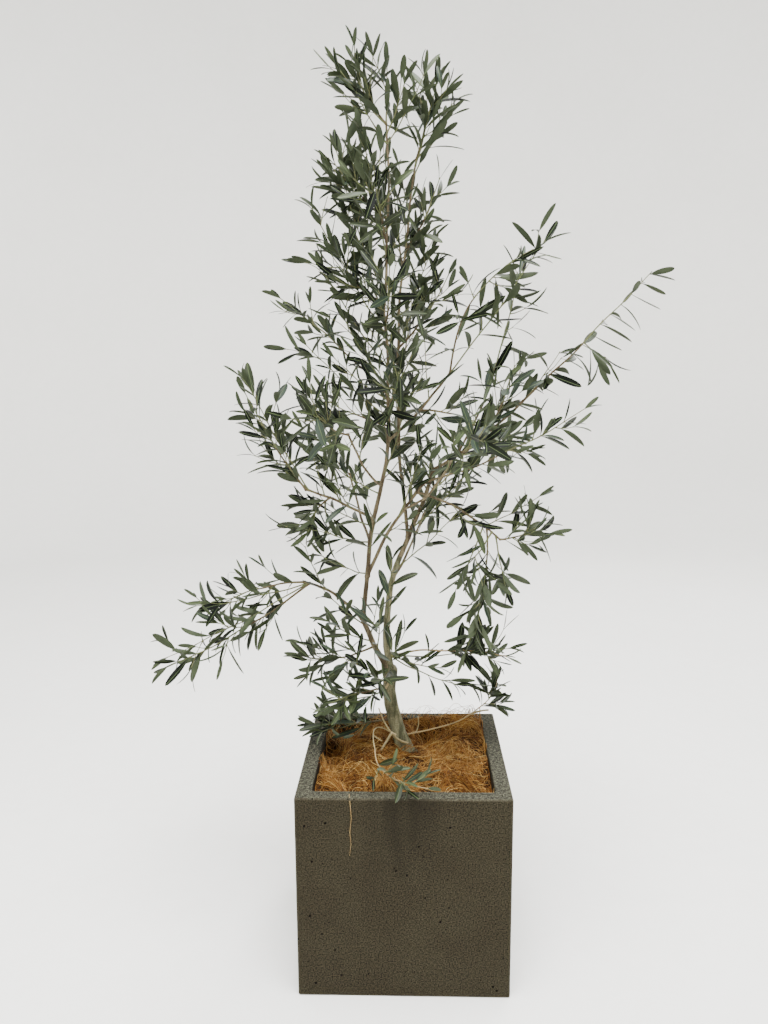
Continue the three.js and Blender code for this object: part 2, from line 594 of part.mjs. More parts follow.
// What lies under the flat cut at the trunk's foot.
function belowCut() {
  const ground = new THREE.BoxGeometry(PLANTER_SIDE, PLANTER_SIDE, SOIL_TOP);
  ground.translate(0, 0, SOIL_TOP / 2 + CLEARANCE);
  return solidFrom(ground);
}

const stems = new THREE.Group();
const cutters = [belowCut()];
for (const limb of limbs.values()) {
  const solid = mainBody(limbSolid(limb).subtract(wasm.Manifold.union(cutters)));
  stems.add(named(limb.name, geometryFrom(solid), FINISHES.bark));
  cutters.push(limbSolid(limb, CLEARANCE));
}
const aroundLimbs = wasm.Manifold.union(cutters);

const crown = new THREE.Group();
for (const mass of masses) {
  crown.add(named(mass.name, geometryFrom(massSolid(mass, aroundLimbs)), FINISHES.leaves));
}

const oliveTree = new THREE.Group();
oliveTree.add(pot, stems, crown);

export default oliveTree;
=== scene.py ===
# Potted olive tree: planter, coir, bark, twigs and leaves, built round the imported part.
# The sizes and tables are in millimetres, as in the part, and the meshes are in metres.
import math

import bmesh
import bpy
import numpy as np
from mathutils import Matrix, Vector, noise


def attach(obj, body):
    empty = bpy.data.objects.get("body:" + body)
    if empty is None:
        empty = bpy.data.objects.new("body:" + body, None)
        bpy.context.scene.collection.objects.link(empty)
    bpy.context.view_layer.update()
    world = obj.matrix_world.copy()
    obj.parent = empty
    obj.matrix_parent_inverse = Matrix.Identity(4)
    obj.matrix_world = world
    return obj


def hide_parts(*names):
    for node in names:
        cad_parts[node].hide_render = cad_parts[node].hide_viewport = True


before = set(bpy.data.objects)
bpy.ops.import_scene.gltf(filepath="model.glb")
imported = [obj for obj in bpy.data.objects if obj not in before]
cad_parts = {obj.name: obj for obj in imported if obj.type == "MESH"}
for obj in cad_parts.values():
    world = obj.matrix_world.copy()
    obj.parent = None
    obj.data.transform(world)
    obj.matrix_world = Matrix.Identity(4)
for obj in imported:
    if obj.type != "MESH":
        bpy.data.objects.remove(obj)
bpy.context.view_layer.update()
MM = 0.001

# Planter, soil and coir
PLANTER_SIDE = 400
PLANTER_HEIGHT = 400
RIM_WIDTH = 30
PLANTER_FLOOR = 32
EDGE_SOFTENING = 2.5
CAVITY_CORNER = 6
SOIL_TOP = 350
COIR_TOP = 380
COIR_HEAP = 30
COIR_RIPPLE = 3.5
COIR_RIPPLE_LENGTHS = (19, 43, 23, 37)
WALL_HOLLOW = dict(x=-146, y=38, across=30, along=52, depth=22)

# Curves of limbs and shoots, and how far along another limb one still leaves its side
BELOW_CUT = 16
FLARE_HEIGHT = 60
AXIS_POINTS = 24
AXIS_STEP = 0.01
STEEP = 0.8
SWAY = 0.006
SWAY_TURNS = (9.5, 14.0)
SWAY_PHASES = (0.37, 0.11)
SIDE_LIMB_BELOW = 0.95

# Radii of stems and twigs at their foot and tip. STEM_SHARE keeps a stem thinner than its limb.
STEM_RADIUS = 2.4
STEM_TIP_RADIUS = 0.85
STEM_SHARE = 0.95
TWIG_RADII = (1.15, 0.65)
BETWEEN_RADII = (0.95, 0.6)
TWIGLET_RADII = (0.8, 0.5)
LONG_SHOOT_RADII = (1.7, 0.8)
LONG_SHOOT_TWIG_RADII = (1.0, 0.6)
LIMB_TWIG_RADII = (1.3, 0.7)

# Twigs
STEM_BARE = 0.12
TWIG_BARE = 0.3
TWIG_ANGLE = 0.8
TWIG_SHORTENING = 0.45
TWIG_RISE = 0.15
TWIG_SAG = 0.06
TWIG_SHARES = (1, 0.7, 0.45)
LAST_TWIG_AT = 0.88
IN_BETWEEN_LENGTH = 0.66
TWIGLET_LENGTH = 0.55
TWIGLETS = 1
DENSE = 1
GOLDEN_ANGLE = 2.39996

# How far along twigs, long shoots and leaves their space is checked
TWIG_POINTS = (0.5, 0.75, 1)
LIMB_TWIG_POINTS = (0.4, 0.6, 0.8, 1)
LEAF_POINTS = (0.3, 0.5, 0.7, 0.9)
LEAF_EDGE_POINTS = (0.3, 0.75, 1.03)

# Twigs straight from the limbs, and long shoots with short twigs of their own
LIMB_TWIG_SPACING = 64
LIMB_TWIG_LENGTH = 100
LIMB_TWIG_RISE = 0.45
LIMB_TWIG_BARE = 0.2
LIMB_TWIG_REACH = 1.9
LIMB_TWIG_LENGTH_SPREAD = 0.8
LIMB_TWIG_BOW_SPREAD = 4
LONG_SHOOT_BOW = (0, 0, -7)
LONG_SHOOT_BARE = 0.25
LONG_SHOOT_SPACING = 52
LONG_SHOOT_TWIG = 52
FIRST_TWIG_PAST_BARE = 0.05

# Leaves
LEAF_LENGTH = 63
LEAF_WIDTH = 0.198
LEAF_SPACING = 34
LEAF_GAP = 2.2
LEAF_ANGLE = 0.74
TIP_LEAF_ANGLE = 0.33
TIP_LEAF_SHORTENING = 0.3
LEAF_BEND = 0.25
LEAF_FOLD = 0.3
LEAF_DROOP = 0.8
LAST_NODE_AT = 0.985
LEAF_WIDEST_AT = 0.46
NO_BEND = 1e-3
TOWARDS_LIGHT = 0.4

# How far random numbers spread round 0 or 1
SIZE_SPREAD = 0.3
ANGLE_SPREAD = 0.34
TWIG_TURN_SPREAD = 0.6
LEAF_TURN_SPREAD = 0.5
LEAF_ROLL_SPREAD = 0.7
LEAF_WIDTH_SPREAD = 0.5
LEAF_BEND_SPREAD = 0.9
LEAF_FOLD_SPREAD = 0.3
LEAF_TWIST_SPREAD = 0.9

# Steps between seeds, so that no two runs of random numbers are the same
SEEDS_A_STEM = 100
BETWEEN_SEED = 500
TWIGLET_SEED = 50
LEAF_SEED = 7
SPRAY_TONE_SEED = 31
LEAF_TONE_SEED = 63
LONG_SHOOT_SEED = 900
LONG_SHOOT_TWIG_SEED = 400
LIMB_TWIG_SEED = 700
LIMB_TWIG_SEED_STEP = 37

# Clear space round twigs and leaves, and how far from a shoot and to the back leaves may be
SPACE_MARGIN = 0.04
LIMB_MARGIN = 2
PLANTER_MARGIN = 4
EDGE_MARGIN = 1
FREE_LEAF_REACH = 66
FARTHEST_BACK = 371

# Sprays' tones: where each ends as a share of all, and how many leaves differ from their spray
TONE_SHARES = (0.3, 0.6, 0.78, 0.88, 1)
STRAY_TONES = 0.25

# Limbs that carry leafy twigs of their own, and how far along these start
LEAFY_LIMBS = dict(
    left_stem=0.35, leader_lower=0.05, leader_middle=0, leader_upper=0, right_stem_lower=0.55,
    right_stem_upper=0.1, back_upright_lower=0.15, back_upright_upper=0, middle_stem=0.25,
    low_left_bough=0.3, left_bough=0.4, right_middle_bough=0.3, right_arm=0.3,
    right_low_bough=0.25, back_left_bough=0.4, back_low_bough=0.4, front_left_bough=0.35,
    front_right_bough=0.35,
)

TRUNK = dict(foot=(30, 70, SOIL_TOP - BELOW_CUT), tip=(-27, 70, 548), bow=(-22, 0, 0),
             radii=(14, 12.6), flare=5)

# Every limb but the trunk: the limb that it grows on and how far along it, its tip, its bow,
# and its radii at the foot and the tip
LIMBS = dict(
    left_stem=("trunk", 0.97, (-84, 65, 658), (-5, 0, 2), (6.5, 5.2)),
    right_stem_lower=("trunk", 1, (-8, 86, 788), (-18, 0, 0), (8, 5.6)),
    right_stem_upper=("right_stem_lower", 1, (62, 100, 968), (5, 0, 5), (5.5, 3.8)),
    leader_lower=("left_stem", 1, (-34, 60, 989), (-8, 0, 0), (5, 4)),
    leader_middle=("leader_lower", 1, (-38, 60, 1280), (7, 0, 0), (4, 3)),
    leader_upper=("leader_middle", 1, (-31, 60, 1625), (6, 0, 0), (3, 2)),
    middle_stem=("leader_lower", 0.28, (44, 32, 951), (-8, 0, 6), (3.7, 2.8)),
    back_upright_lower=("right_stem_upper", 0.2, (-11, 92, 1181), (-6, 0, 0), (3.8, 3)),
    back_upright_upper=("back_upright_lower", 1, (26, 90, 1568), (-7, 0, 0), (3, 2)),
    low_left_bough=("left_stem", 0.95, (-205, 76, 736), (5, 0, 14), (3.6, 2.6)),
    left_bough=("leader_lower", 0.64, (-195, 42, 934), (-4, 0, 7), (3, 2.2)),
    right_middle_bough=("leader_middle", 0.14, (92, 58, 1164), (2, 0, -6), (2.9, 2.1)),
    right_arm=("right_stem_upper", 1, (237, 75, 1106), (2, 0, -10), (3.5, 2.5)),
    right_low_bough=("middle_stem", 0.88, (190, 15, 838), (0, 0, 14), (2.5, 1.9)),
    front_shoot=("trunk", 0.27, (-57, -48, 426), (-26, 26, 26), (2.2, 1.6)),
    back_left_bough=("leader_lower", 0.5, (-118, 205, 945), (0, 18, -14), (3, 2.1)),
    back_low_bough=("right_stem_lower", 0.8, (42, 235, 850), (0, 16, -14), (3, 2.1)),
    front_left_bough=("leader_lower", 0.85, (-100, -75, 1052), (0, -16, -12), (2.7, 2)),
    front_right_bough=("middle_stem", 0.7, (92, -85, 1012), (4, -14, -14), (2.6, 2)),
)


def growth(on, at, tip, bow, **rest):
    """A row of the table of masses: its stem's limb and place on it, its tip and bow, and more."""
    return dict(on=on, at=at, tip=tip, bow=bow, **rest)


# Each mass's stem, how far its leaves and twigs reach, how many twigs it has, their length, and
# factors for its leaves' size, slimness, spacing and droop. A fresh mass has fewer dark sprays.
MASSES = dict(
    leaves_top_left=growth("leader_upper", 1, (-94, 50, 1722), (-8, 0, 4), reach=94, twigs=7,
        twig=88, spacing=1.2, seed=11),
    leaves_top_right=growth("back_upright_upper", 1, (64, 80, 1700), (0, 0, 0), reach=76, twigs=6,
        twig=70, spacing=1.3, seed=13),
    leaves_upper_left=growth("leader_upper", 0.5, (-128, 42, 1552), (0, 0, -8), reach=80, twigs=6,
        twig=76, seed=14),
    leaves_upper_front=growth("leader_upper", 0.38, (-50, -84, 1520), (0, -10, -12), reach=80,
        twigs=6, twig=76, spacing=1.5, seed=15),
    leaves_upper_back=growth("back_upright_upper", 0.48, (-18, 205, 1520), (0, 8, -14), reach=84,
        twigs=6, twig=78, spacing=1.6, seed=16),
    leaves_upper_right=growth("back_upright_upper", 0.56, (70, 62, 1528), (4, 0, -6), reach=62,
        twigs=3, twig=54, leaf=0.9, spacing=1.2, seed=17),
    leaves_high_left=growth("leader_upper", 0.05, (-136, 40, 1386), (-4, 0, -10), reach=80, twigs=6,
        twig=76, spacing=1.2, seed=18),
    leaves_high_right=growth("back_upright_upper", 0.08, (88, 66, 1350), (4, 0, -8), reach=78,
        twigs=6, twig=72, spacing=1.3, seed=19),
    leaves_high_front=growth("leader_middle", 0.88, (-22, -114, 1346), (0, -12, -14), reach=88,
        twigs=6, twig=80, spacing=1.4, seed=20),
    leaves_high_back=growth("back_upright_lower", 0.92, (22, 262, 1322), (0, 10, -16), reach=92,
        twigs=6, twig=84, spacing=1.6, seed=21),
    leaves_left_spray=growth("leader_middle", 0.45, (-246, 96, 1312), (6, 0, 4), reach=56,
        bare=0.42, twigs=4, twig=50, leaf=0.85, spacing=1.3, seed=22),
    leaves_centre_left=growth("leader_middle", 0.24, (-172, 48, 1122), (0, 0, -6), reach=78,
        twigs=6, twig=72, spacing=3.4, seed=23),
    leaves_centre_front=growth("leader_middle", 0.36, (-2, -130, 1190), (0, -10, -14), reach=88,
        twigs=6, twig=80, spacing=1.7, seed=24),
    leaves_centre_back=growth("back_upright_lower", 0.55, (-18, 292, 1138), (0, 10, -18), reach=94,
        twigs=6, twig=88, spacing=1.6, seed=25),
    leaves_right_arch=growth("right_middle_bough", 1, (246, 36, 1392), (-32, 0, 26), reach=58,
        twigs=5, twig=50, leaf=1.3, droop=0.5, spacing=2.3, slim=0.8, seed=27),
    leaves_right_tall=growth("right_arm", 0.26, (226, 106, 1358), (16, 0, -10), reach=56, bare=0.2,
        twigs=4, twig=48, leaf=1.3, droop=0.4, spacing=2.3, slim=0.8, seed=28),
    leaves_long_right=growth("right_arm", 1, (472, 44, 1350), (-4, 0, -8), reach=76, twigs=1,
        twig=62, leaf=1.25, droop=0.95, spacing=0.76, slim=0.9, seed=29),
    leaves_right_inner=growth("right_arm", 0.62, (212, 8, 1176), (0, -8, -4), reach=66, twigs=5,
        twig=58, spacing=2.8, seed=30),
    leaves_right_centre=growth("right_middle_bough", 0.5, (158, 8, 1062), (0, -6, 8), reach=66,
        twigs=4, twig=58, spacing=3.2, seed=49),
    leaves_right_back=growth("right_arm", 0.5, (238, 222, 1010), (0, 6, 6), reach=84, twigs=6,
        twig=80, spacing=2.7, seed=31),
    leaves_right_reach=growth("middle_stem", 1, (350, 8, 1096), (0, 0, -16), reach=60, bare=0.18,
        twigs=5, twig=58, leaf=0.95, spacing=1.4, seed=32),
    leaves_right_low=growth("right_low_bough", 1, (266, 12, 866), (0, 0, -6), reach=66, twigs=5,
        twig=58, spacing=1.2, seed=33),
    leaves_hanging=growth("right_low_bough", 0.84, (122, -16, 616), (14, 0, 0), reach=66, bare=0.2,
        twigs=6, twig=58, droop=0.35, spacing=1.1, seed=34),
    leaves_low_right=growth("right_stem_lower", 0.12, (205, -2, 604), (-12, 0, 14), reach=56,
        bare=0.55, twigs=4, twig=50, leaf=0.9, seed=35),
    leaves_basal_right=growth("trunk", 0.33, (194, 60, 532), (42, 0, -18), stem=1.8, reach=52,
        bare=0.66, twigs=3, twig=42, leaf=0.85, seed=36),
    leaves_front_rim=growth("front_shoot", 1, (46, -194, 418), (-26, -24, 0), reach=54, bare=0.3,
        twigs=5, twig=44, leaf=0.75, spacing=1.3, seed=37),
    leaves_basal_left=growth("trunk", 0.5, (-188, 44, 440), (0, 0, -6), reach=66, bare=0.28,
        twigs=6, twig=64, leaf=0.95, spacing=1.2, fresh=0.45, seed=38),
    leaves_low_left_cluster=growth("left_stem", 0.5, (-208, 40, 588), (0, 0, -14), reach=80,
        bare=0.2, twigs=7, twig=76, spacing=1.2, fresh=0.45, seed=39),
    leaves_low_centre=growth("trunk", 0.82, (-150, -28, 512), (0, 0, 6), reach=70, bare=0.2,
        twigs=5, twig=62, leaf=0.9, spacing=1.2, fresh=0.5, seed=48),
    leaves_low_left_high=growth("low_left_bough", 1, (-400, 92, 676), (0, 0, 14), reach=60, twigs=5,
        twig=54, leaf=0.9, spacing=3.0, seed=40),
    leaves_low_left_reach=growth("low_left_bough", 0.93, (-488, 16, 570), (10, 0, -8), reach=66,
        bare=0.2, twigs=6, twig=62, leaf=1.05, droop=0.2, spacing=2.1, seed=41),
    leaves_left_outer=growth("left_bough", 1, (-306, 14, 1128), (0, 0, -10), reach=76, twigs=6,
        twig=70, spacing=1.3, seed=42),
    leaves_left_inner=growth("left_bough", 0.62, (-206, 66, 846), (0, 0, 8), reach=76, twigs=5,
        twig=66, spacing=1.2, seed=43),
    leaves_back_left=growth("back_left_bough", 1, (-205, 292, 1050), (0, 6, -14), reach=92, twigs=6,
        twig=86, spacing=1.7, seed=44),
    leaves_back_low=growth("back_low_bough", 1, (88, 318, 945), (0, 8, -12), reach=92, twigs=6,
        twig=86, spacing=1.4, seed=45),
    leaves_front_left=growth("front_left_bough", 1, (-160, -188, 1116), (0, -8, -12), reach=84,
        twigs=6, twig=78, spacing=2.4, seed=46),
    leaves_front_right=growth("front_right_bough", 1, (142, -186, 1076), (0, -8, -12), reach=84,
        twigs=6, twig=78, spacing=2.7, seed=47),
)

# Long leafy shoots: the limb that each grows on, how far along it, its tip and its bare share
LONG_SHOOTS = [
    ("leader_upper", 1, (-29, 62, 1724)), ("leader_upper", 0.9, (-86, 40, 1677)),
    ("leader_middle", 0.95, (-125, 46, 1577)), ("leader_upper", 0.3, (-75, 34, 1605)),
    ("leader_upper", 0.1, (-136, 70, 1532)), ("leader_middle", 0.85, (-172, 40, 1472)),
    ("back_upright_upper", 1, (93, 84, 1666)), ("back_upright_upper", 0.97, (63, 70, 1698)),
    ("leader_middle", 0.62, (-156, 52, 1363)), ("leader_middle", 0.3, (-192, 70, 1219)),
    ("leader_lower", 0.8, (-172, 34, 1010)), ("leader_lower", 0.6, (-167, 84, 907)),
    ("leader_lower", 0.5, (-171, 30, 859)), ("leader_lower", 0.3, (-135, 20, 795)),
    ("left_stem", 0.9, (-169, 66, 726)), ("left_stem", 0.6, (-148, 10, 670)),
    ("trunk", 0.97, (-131, -10, 608)), ("trunk", 0.9, (-70, -40, 584)),
    ("trunk", 0.82, (-125, 0, 510)), ("left_stem", 0.4, (-47, 10, 695)),
    ("right_stem_lower", 0.45, (-23, -10, 802)), ("right_stem_lower", 0.15, (73, 10, 575)),
    ("right_stem_lower", 0.9, (116, 40, 897)), ("right_stem_upper", 0.3, (131, 30, 974)),
    ("right_low_bough", 0.9, (121, -20, 793)), ("right_arm", 0.9, (307, 70, 1202)),
    ("right_middle_bough", 0.9, (268, 40, 1409)), ("low_left_bough", 0.95, (-431, 60, 689)),
    ("middle_stem", 0.6, (32, -20, 1009)), ("leader_lower", 0.9, (9, 0, 1112)),
    ("leader_middle", 0.5, (-109, 20, 1260)), ("leader_middle", 0.42, (-134, 40, 1193)),
    ("leader_middle", 0.46, (-69, -30, 1206)), ("leader_middle", 0.55, (-20, -20, 1264)),
    ("left_bough", 0.45, (-153, 30, 983)), ("left_bough", 0.3, (-127, 0, 947)),
    ("back_upright_upper", 0.2, (56, 90, 1400)), ("leader_upper", 0.95, (3, 60, 1695)),
    ("leader_upper", 1, (-121, 50, 1725)), ("right_low_bough", 0.8, (103, 0, 739)),
    ("right_low_bough", 0.95, (204, 20, 738)), ("right_stem_lower", 0.13, (212, 0, 620), 0.6),
    ("right_stem_lower", 0.14, (104, -10, 548), 0.6), ("right_low_bough", 0.6, (173, 50, 887)),
    ("low_left_bough", 0.95, (-486, 18, 591)), ("left_bough", 0.95, (-297, 20, 1136)),
    ("left_bough", 0.9, (-280, 40, 1022)), ("trunk", 0.95, (-23, -10, 639)),
]

UP = np.array((0.0, 0.0, 1.0))
BACK = np.array((0.0, 1.0, 0.0))
MODULUS = 2147483647
FIRST_FACTOR = 48271
NEXT_FACTOR = 16807


def unit(vectors):
    return vectors / np.linalg.norm(vectors, axis=-1, keepdims=True)


def turned(vector, axis, angle):
    """A vector turned about a unit axis."""
    across = np.cross(axis, vector)
    along = axis * np.dot(axis, vector)
    return along + (vector - along) * math.cos(angle) + across * math.sin(angle)


def seeded(seed):
    """Numbers from 0 to 1 that are the same on every run for the same seed, as in the part."""
    state = seed * FIRST_FACTOR % MODULUS

    def draw():
        nonlocal state
        state = state * NEXT_FACTOR % MODULUS
        return state / MODULUS

    return draw


def around_zero(random, spread):
    return spread * (random() - 0.5)


def around_one(random, spread):
    return 1 + around_zero(random, spread)


class Curve:
    """The line of a limb or shoot: from foot to tip, its middle `bow` off the straight line, with
    a slight natural sway that is nothing at either end."""

    def __init__(self, foot, tip, bow):
        self.foot = np.array(foot, float)
        self.tip = np.array(tip, float)
        self.middle = (self.foot + self.tip) / 2 + 2 * np.array(bow, float)
        chord = self.tip - self.foot
        straight = np.linalg.norm(chord)
        self.steep = abs(chord[2]) > STEEP * straight
        across = unit(np.cross(chord, BACK if self.steep else UP))
        over = unit(np.cross(across, chord))
        self.sways = SWAY * straight * np.array((across, over))
        self.phase = SWAY_PHASES[0] * self.foot.sum() + SWAY_PHASES[1] * self.tip.sum()
        line = self.at(np.linspace(0, 1, AXIS_POINTS + 1))
        self.length = np.linalg.norm(np.diff(line, axis=0), axis=1).sum()

    def at(self, t):
        t = np.asarray(t, float)[..., None]
        sway = np.sin(SWAY_TURNS[0] * t + self.phase) * self.sways[0]
        sway = sway + np.sin(SWAY_TURNS[1] * t - self.phase) * self.sways[1]
        bowed = (1 - t) ** 2 * self.foot + 2 * t * (1 - t) * self.middle + t**2 * self.tip
        return bowed + np.sin(np.pi * np.clip(t, 0, 1)) * sway

    def along(self, t):
        t = np.asarray(t, float)
        return unit(self.at(np.minimum(t + AXIS_STEP, 1)) - self.at(np.maximum(t - AXIS_STEP, 0)))

    def axes(self, t):
        """Two directions square to the curve, which turn smoothly along it."""
        along = self.along(t)
        side = unit(np.cross(along, BACK if self.steep else UP))
        return side, unit(np.cross(side, along))

    def out(self, t, turn):
        """A direction square to the curve, at an angle round it."""
        side, over = self.axes(t)
        return math.cos(turn) * side + math.sin(turn) * over


class Limb:
    """The trunk or a bough. `beside` is the limb whose side it leaves, if it leaves one's side."""

    def __init__(self, name, foot, tip, bow, radii, flare=0, beside=None):
        self.name = name
        self.curve = Curve(foot, tip, bow)
        self.radii = radii
        self.flare = flare
        self.beside = beside

    def radius_at(self, t):
        foot, tip = self.radii
        flare = self.flare * np.maximum(0, 1 - t * self.curve.length / FLARE_HEIGHT) ** 2
        return foot + (tip - foot) * t + flare


class Mass:
    """A mass of leaves and twigs round a stem: a row of the table of masses."""

    def __init__(self, name, on, at, tip, bow, reach, twigs, twig, seed, bare=STEM_BARE,
                 stem=STEM_RADIUS, leaf=1, slim=1, spacing=1, droop=0, fresh=0):
        self.name = name
        self.reach = reach
        self.twigs = twigs
        self.twig = twig
        self.seed = seed
        self.leaf = leaf
        self.slim = slim
        self.spacing = spacing
        self.droop = droop
        self.fresh = fresh
        self.curve = Curve(limbs[on].curve.at(at), tip, bow)
        thickest = min(stem, STEM_SHARE * float(limbs[on].radius_at(at)))
        self.stem = Shoot(self.curve, seed, bare, (thickest, STEM_TIP_RADIUS), 0, spacing)


class Shoot:
    """A stem, twig or twiglet: its curve, its share with no leaves and its radii."""

    def __init__(self, curve, seed, bare, radii, order=1, spacing=1):
        self.curve = curve
        self.spacing = LEAF_SPACING * spacing
        self.seed = seed
        self.bare = bare
        self.radii = radii
        self.order = order

    def nodes(self):
        """How far along the shoot its leaves grow: past its bare part and evenly to its tip."""
        leafy = 1 - self.bare
        count = max(1, round(self.curve.length * leafy / self.spacing))
        return self.bare + leafy * np.arange(count + 1) / count


def to_spans(points, starts, spans):
    """Each point's distance from each straight span, and how far along the span that is."""
    away = points - starts
    share = np.clip((away * spans).sum(-1) / (spans**2).sum(-1), 0, 1)
    return np.linalg.norm(away - share[..., None] * spans, axis=-1), share


class Lines:
    """Straight spans along many curves, for distances to them."""

    def __init__(self, curves):
        shares = np.linspace(0, 1, AXIS_POINTS + 1)
        points = np.array([curve.at(shares) for curve in curves])
        self.starts = points[:, :-1]
        self.spans = points[:, 1:] - points[:, :-1]

    def near(self, points):
        """Each point's distance from each curve, and how far along the curve that is."""
        gaps, share = to_spans(points[:, None, None], self.starts, self.spans)
        nearest = gaps.argmin(-1)[..., None]
        distance = np.take_along_axis(gaps, nearest, -1)[..., 0]
        along = (nearest + np.take_along_axis(share, nearest, -1))[..., 0] / AXIS_POINTS
        return distance, along


limbs = dict(trunk=Limb("trunk", **TRUNK))
for name, (on, at, *shape) in LIMBS.items():
    beside = limbs[on] if at < SIDE_LIMB_BELOW else None
    limbs[name] = Limb(name, limbs[on].curve.at(at), *shape, beside=beside)
masses = [Mass(name, **row) for name, row in MASSES.items()]
LIMB_LINES = Lines([limb.curve for limb in limbs.values()])
MASS_LINES = Lines([mass.curve for mass in masses])
REACHES = np.array([mass.reach for mass in masses])


def coir_height(x, y):
    """The top of the coir, as in the part: rippled, heaped at the right back corner."""
    half = PLANTER_SIDE / 2 - RIM_WIDTH
    heap = COIR_HEAP * np.maximum(0, (x + y) / (2 * half)) ** 2
    first, second, third, fourth = COIR_RIPPLE_LENGTHS
    waves = np.sin(x / first + y / second) + np.cos(y / third - x / fourth)
    hollow = WALL_HOLLOW
    away = ((x - hollow["x"]) / hollow["across"]) ** 2 + ((y - hollow["y"]) / hollow["along"]) ** 2
    return COIR_TOP + heap + COIR_RIPPLE * waves - hollow["depth"] * np.exp(-away)


def clear_of_planter(points):
    beside = PLANTER_SIDE / 2 + PLANTER_MARGIN
    outside = np.abs(points[:, :2]).max(1) > beside
    top = np.maximum(PLANTER_HEIGHT, coir_height(points[:, 0], points[:, 1]) + COIR_RIPPLE)
    return outside | (points[:, 2] > top + PLANTER_MARGIN)


def clear_of_limbs(points):
    distance, along = LIMB_LINES.near(points)
    radii = [limb.radius_at(along[:, i]) for i, limb in enumerate(limbs.values())]
    return (distance > np.array(radii).T + LIMB_MARGIN).all(1)


def clear(points):
    """Whether points are clear of the limbs and the planter."""
    return clear_of_planter(points) & clear_of_limbs(points)


def in_own_space(points, mass):
    """Whether points are clear, within reach of a mass's stem and nearer to it than to any other
    for its size."""
    shares = MASS_LINES.near(points)[0] / REACHES
    here = masses.index(mass)
    others = np.delete(shares, here, axis=1).min(1)
    own = (shares[:, here] <= 1) & (others >= shares[:, here] + SPACE_MARGIN)
    return own & clear(points)


def within_reach(points, mass):
    """Whether points are clear, and within reach of a mass's stem or a leaf's length of one of its
    shoots."""
    distance = mass.lines.near(points)[0]
    near = (distance[:, 0] <= mass.reach) | (distance[:, 1:].min(1) <= FREE_LEAF_REACH)
    return near & (points[:, 1] <= FARTHEST_BACK) & clear(points)


def side_way(curve, t, number, seed, rise, random):
    """Which way a side twig goes: turned by the golden angle from the last, and leaning out."""
    turn = seed + number * GOLDEN_ANGLE + around_zero(random, TWIG_TURN_SPREAD)
    lean = TWIG_ANGLE * around_one(random, SIZE_SPREAD)
    way = math.cos(lean) * curve.along(t) + math.sin(lean) * curve.out(t, turn)
    return unit(way + rise * UP)


def twigs_of(stem, mass, count, length, seed, radii):
    """Side twigs that keep to their mass's own space, shorter towards their stem's tip."""
    random = seeded(seed)
    twigs = []
    for k in range(count):
        t = stem.bare + (LAST_TWIG_AT - stem.bare) * (k + 0.5) / count
        way = side_way(stem.curve, t, k, seed, TWIG_RISE - mass.droop, random)
        reach = length * (1 - TWIG_SHORTENING * t) * around_one(random, SIZE_SPREAD)
        foot = stem.curve.at(t)
        for share in TWIG_SHARES:
            curve = Curve(foot, foot + way * reach * share, -TWIG_SAG * reach * share * UP)
            if in_own_space(curve.at(TWIG_POINTS), mass).all():
                twigs.append(Shoot(curve, seed * SEEDS_A_STEM + k, TWIG_BARE, radii,
                                   stem.order + 1, mass.spacing))
                break
    return twigs


def shoots_of(mass):
    """The part's stem and twigs, then finer twigs between them and twiglets on them."""
    stem, seed = mass.stem, mass.seed
    twigs = twigs_of(stem, mass, mass.twigs, mass.twig, seed, TWIG_RADII)
    length = IN_BETWEEN_LENGTH * mass.twig
    between = twigs_of(stem, mass, mass.twigs // 2, length, seed + BETWEEN_SEED, BETWEEN_RADII)
    twiglets = []
    for twig in twigs if mass.spacing <= DENSE else []:
        length = TWIGLET_LENGTH * twig.curve.length
        twiglets += twigs_of(twig, mass, TWIGLETS, length, twig.seed + TWIGLET_SEED, TWIGLET_RADII)
    return [stem, *twigs, *between, *twiglets]


class Leaf:
    """One leaf: where it grows, how it lies and its size, bend, fold and twist."""

    def __init__(self, mass, shoot, t, out, last, random):
        along = shoot.curve.along(t)
        angle = (TIP_LEAF_ANGLE if last else LEAF_ANGLE) * around_one(random, ANGLE_SPREAD)
        size = around_one(random, SIZE_SPREAD)
        roll = around_zero(random, LEAF_ROLL_SPREAD)
        way = math.cos(angle) * along + math.sin(angle) * out
        self.way = unit(way - LEAF_DROOP * mass.droop * UP)
        across = turned(np.cross(out, along), self.way, roll)
        face = np.cross(across, self.way) + TOWARDS_LIGHT * UP
        self.across = unit(np.cross(self.way, face))
        self.face = np.cross(self.across, self.way)
        self.length = LEAF_LENGTH * mass.leaf * size * (1 - TIP_LEAF_SHORTENING * t**3)
        self.width = LEAF_WIDTH * mass.slim * self.length * around_one(random, LEAF_WIDTH_SPREAD)
        self.bend = LEAF_BEND + around_zero(random, LEAF_BEND_SPREAD)
        self.fold = LEAF_FOLD + around_zero(random, LEAF_FOLD_SPREAD)
        self.twist = around_zero(random, LEAF_TWIST_SPREAD)
        self.root = shoot.curve.at(min(t, LAST_NODE_AT))

    def at(self, share):
        """A point of the midline, with the leaf's bend."""
        angle = self.bend * share
        bent = abs(self.bend) > NO_BEND
        forward = math.sin(angle) / self.bend if bent else share
        down = (1 - math.cos(angle)) / self.bend if bent else 0
        return self.root + self.length * (forward * self.way - down * self.face)

    def edges(self):
        """Points that show whether the leaf stays in its place: the last is just past its tip."""
        middle = self.at(LEAF_WIDEST_AT)
        half = (self.width / 2 + EDGE_MARGIN) * self.across
        return [middle + half, middle - half, *[self.at(share) for share in LEAF_EDGE_POINTS]]


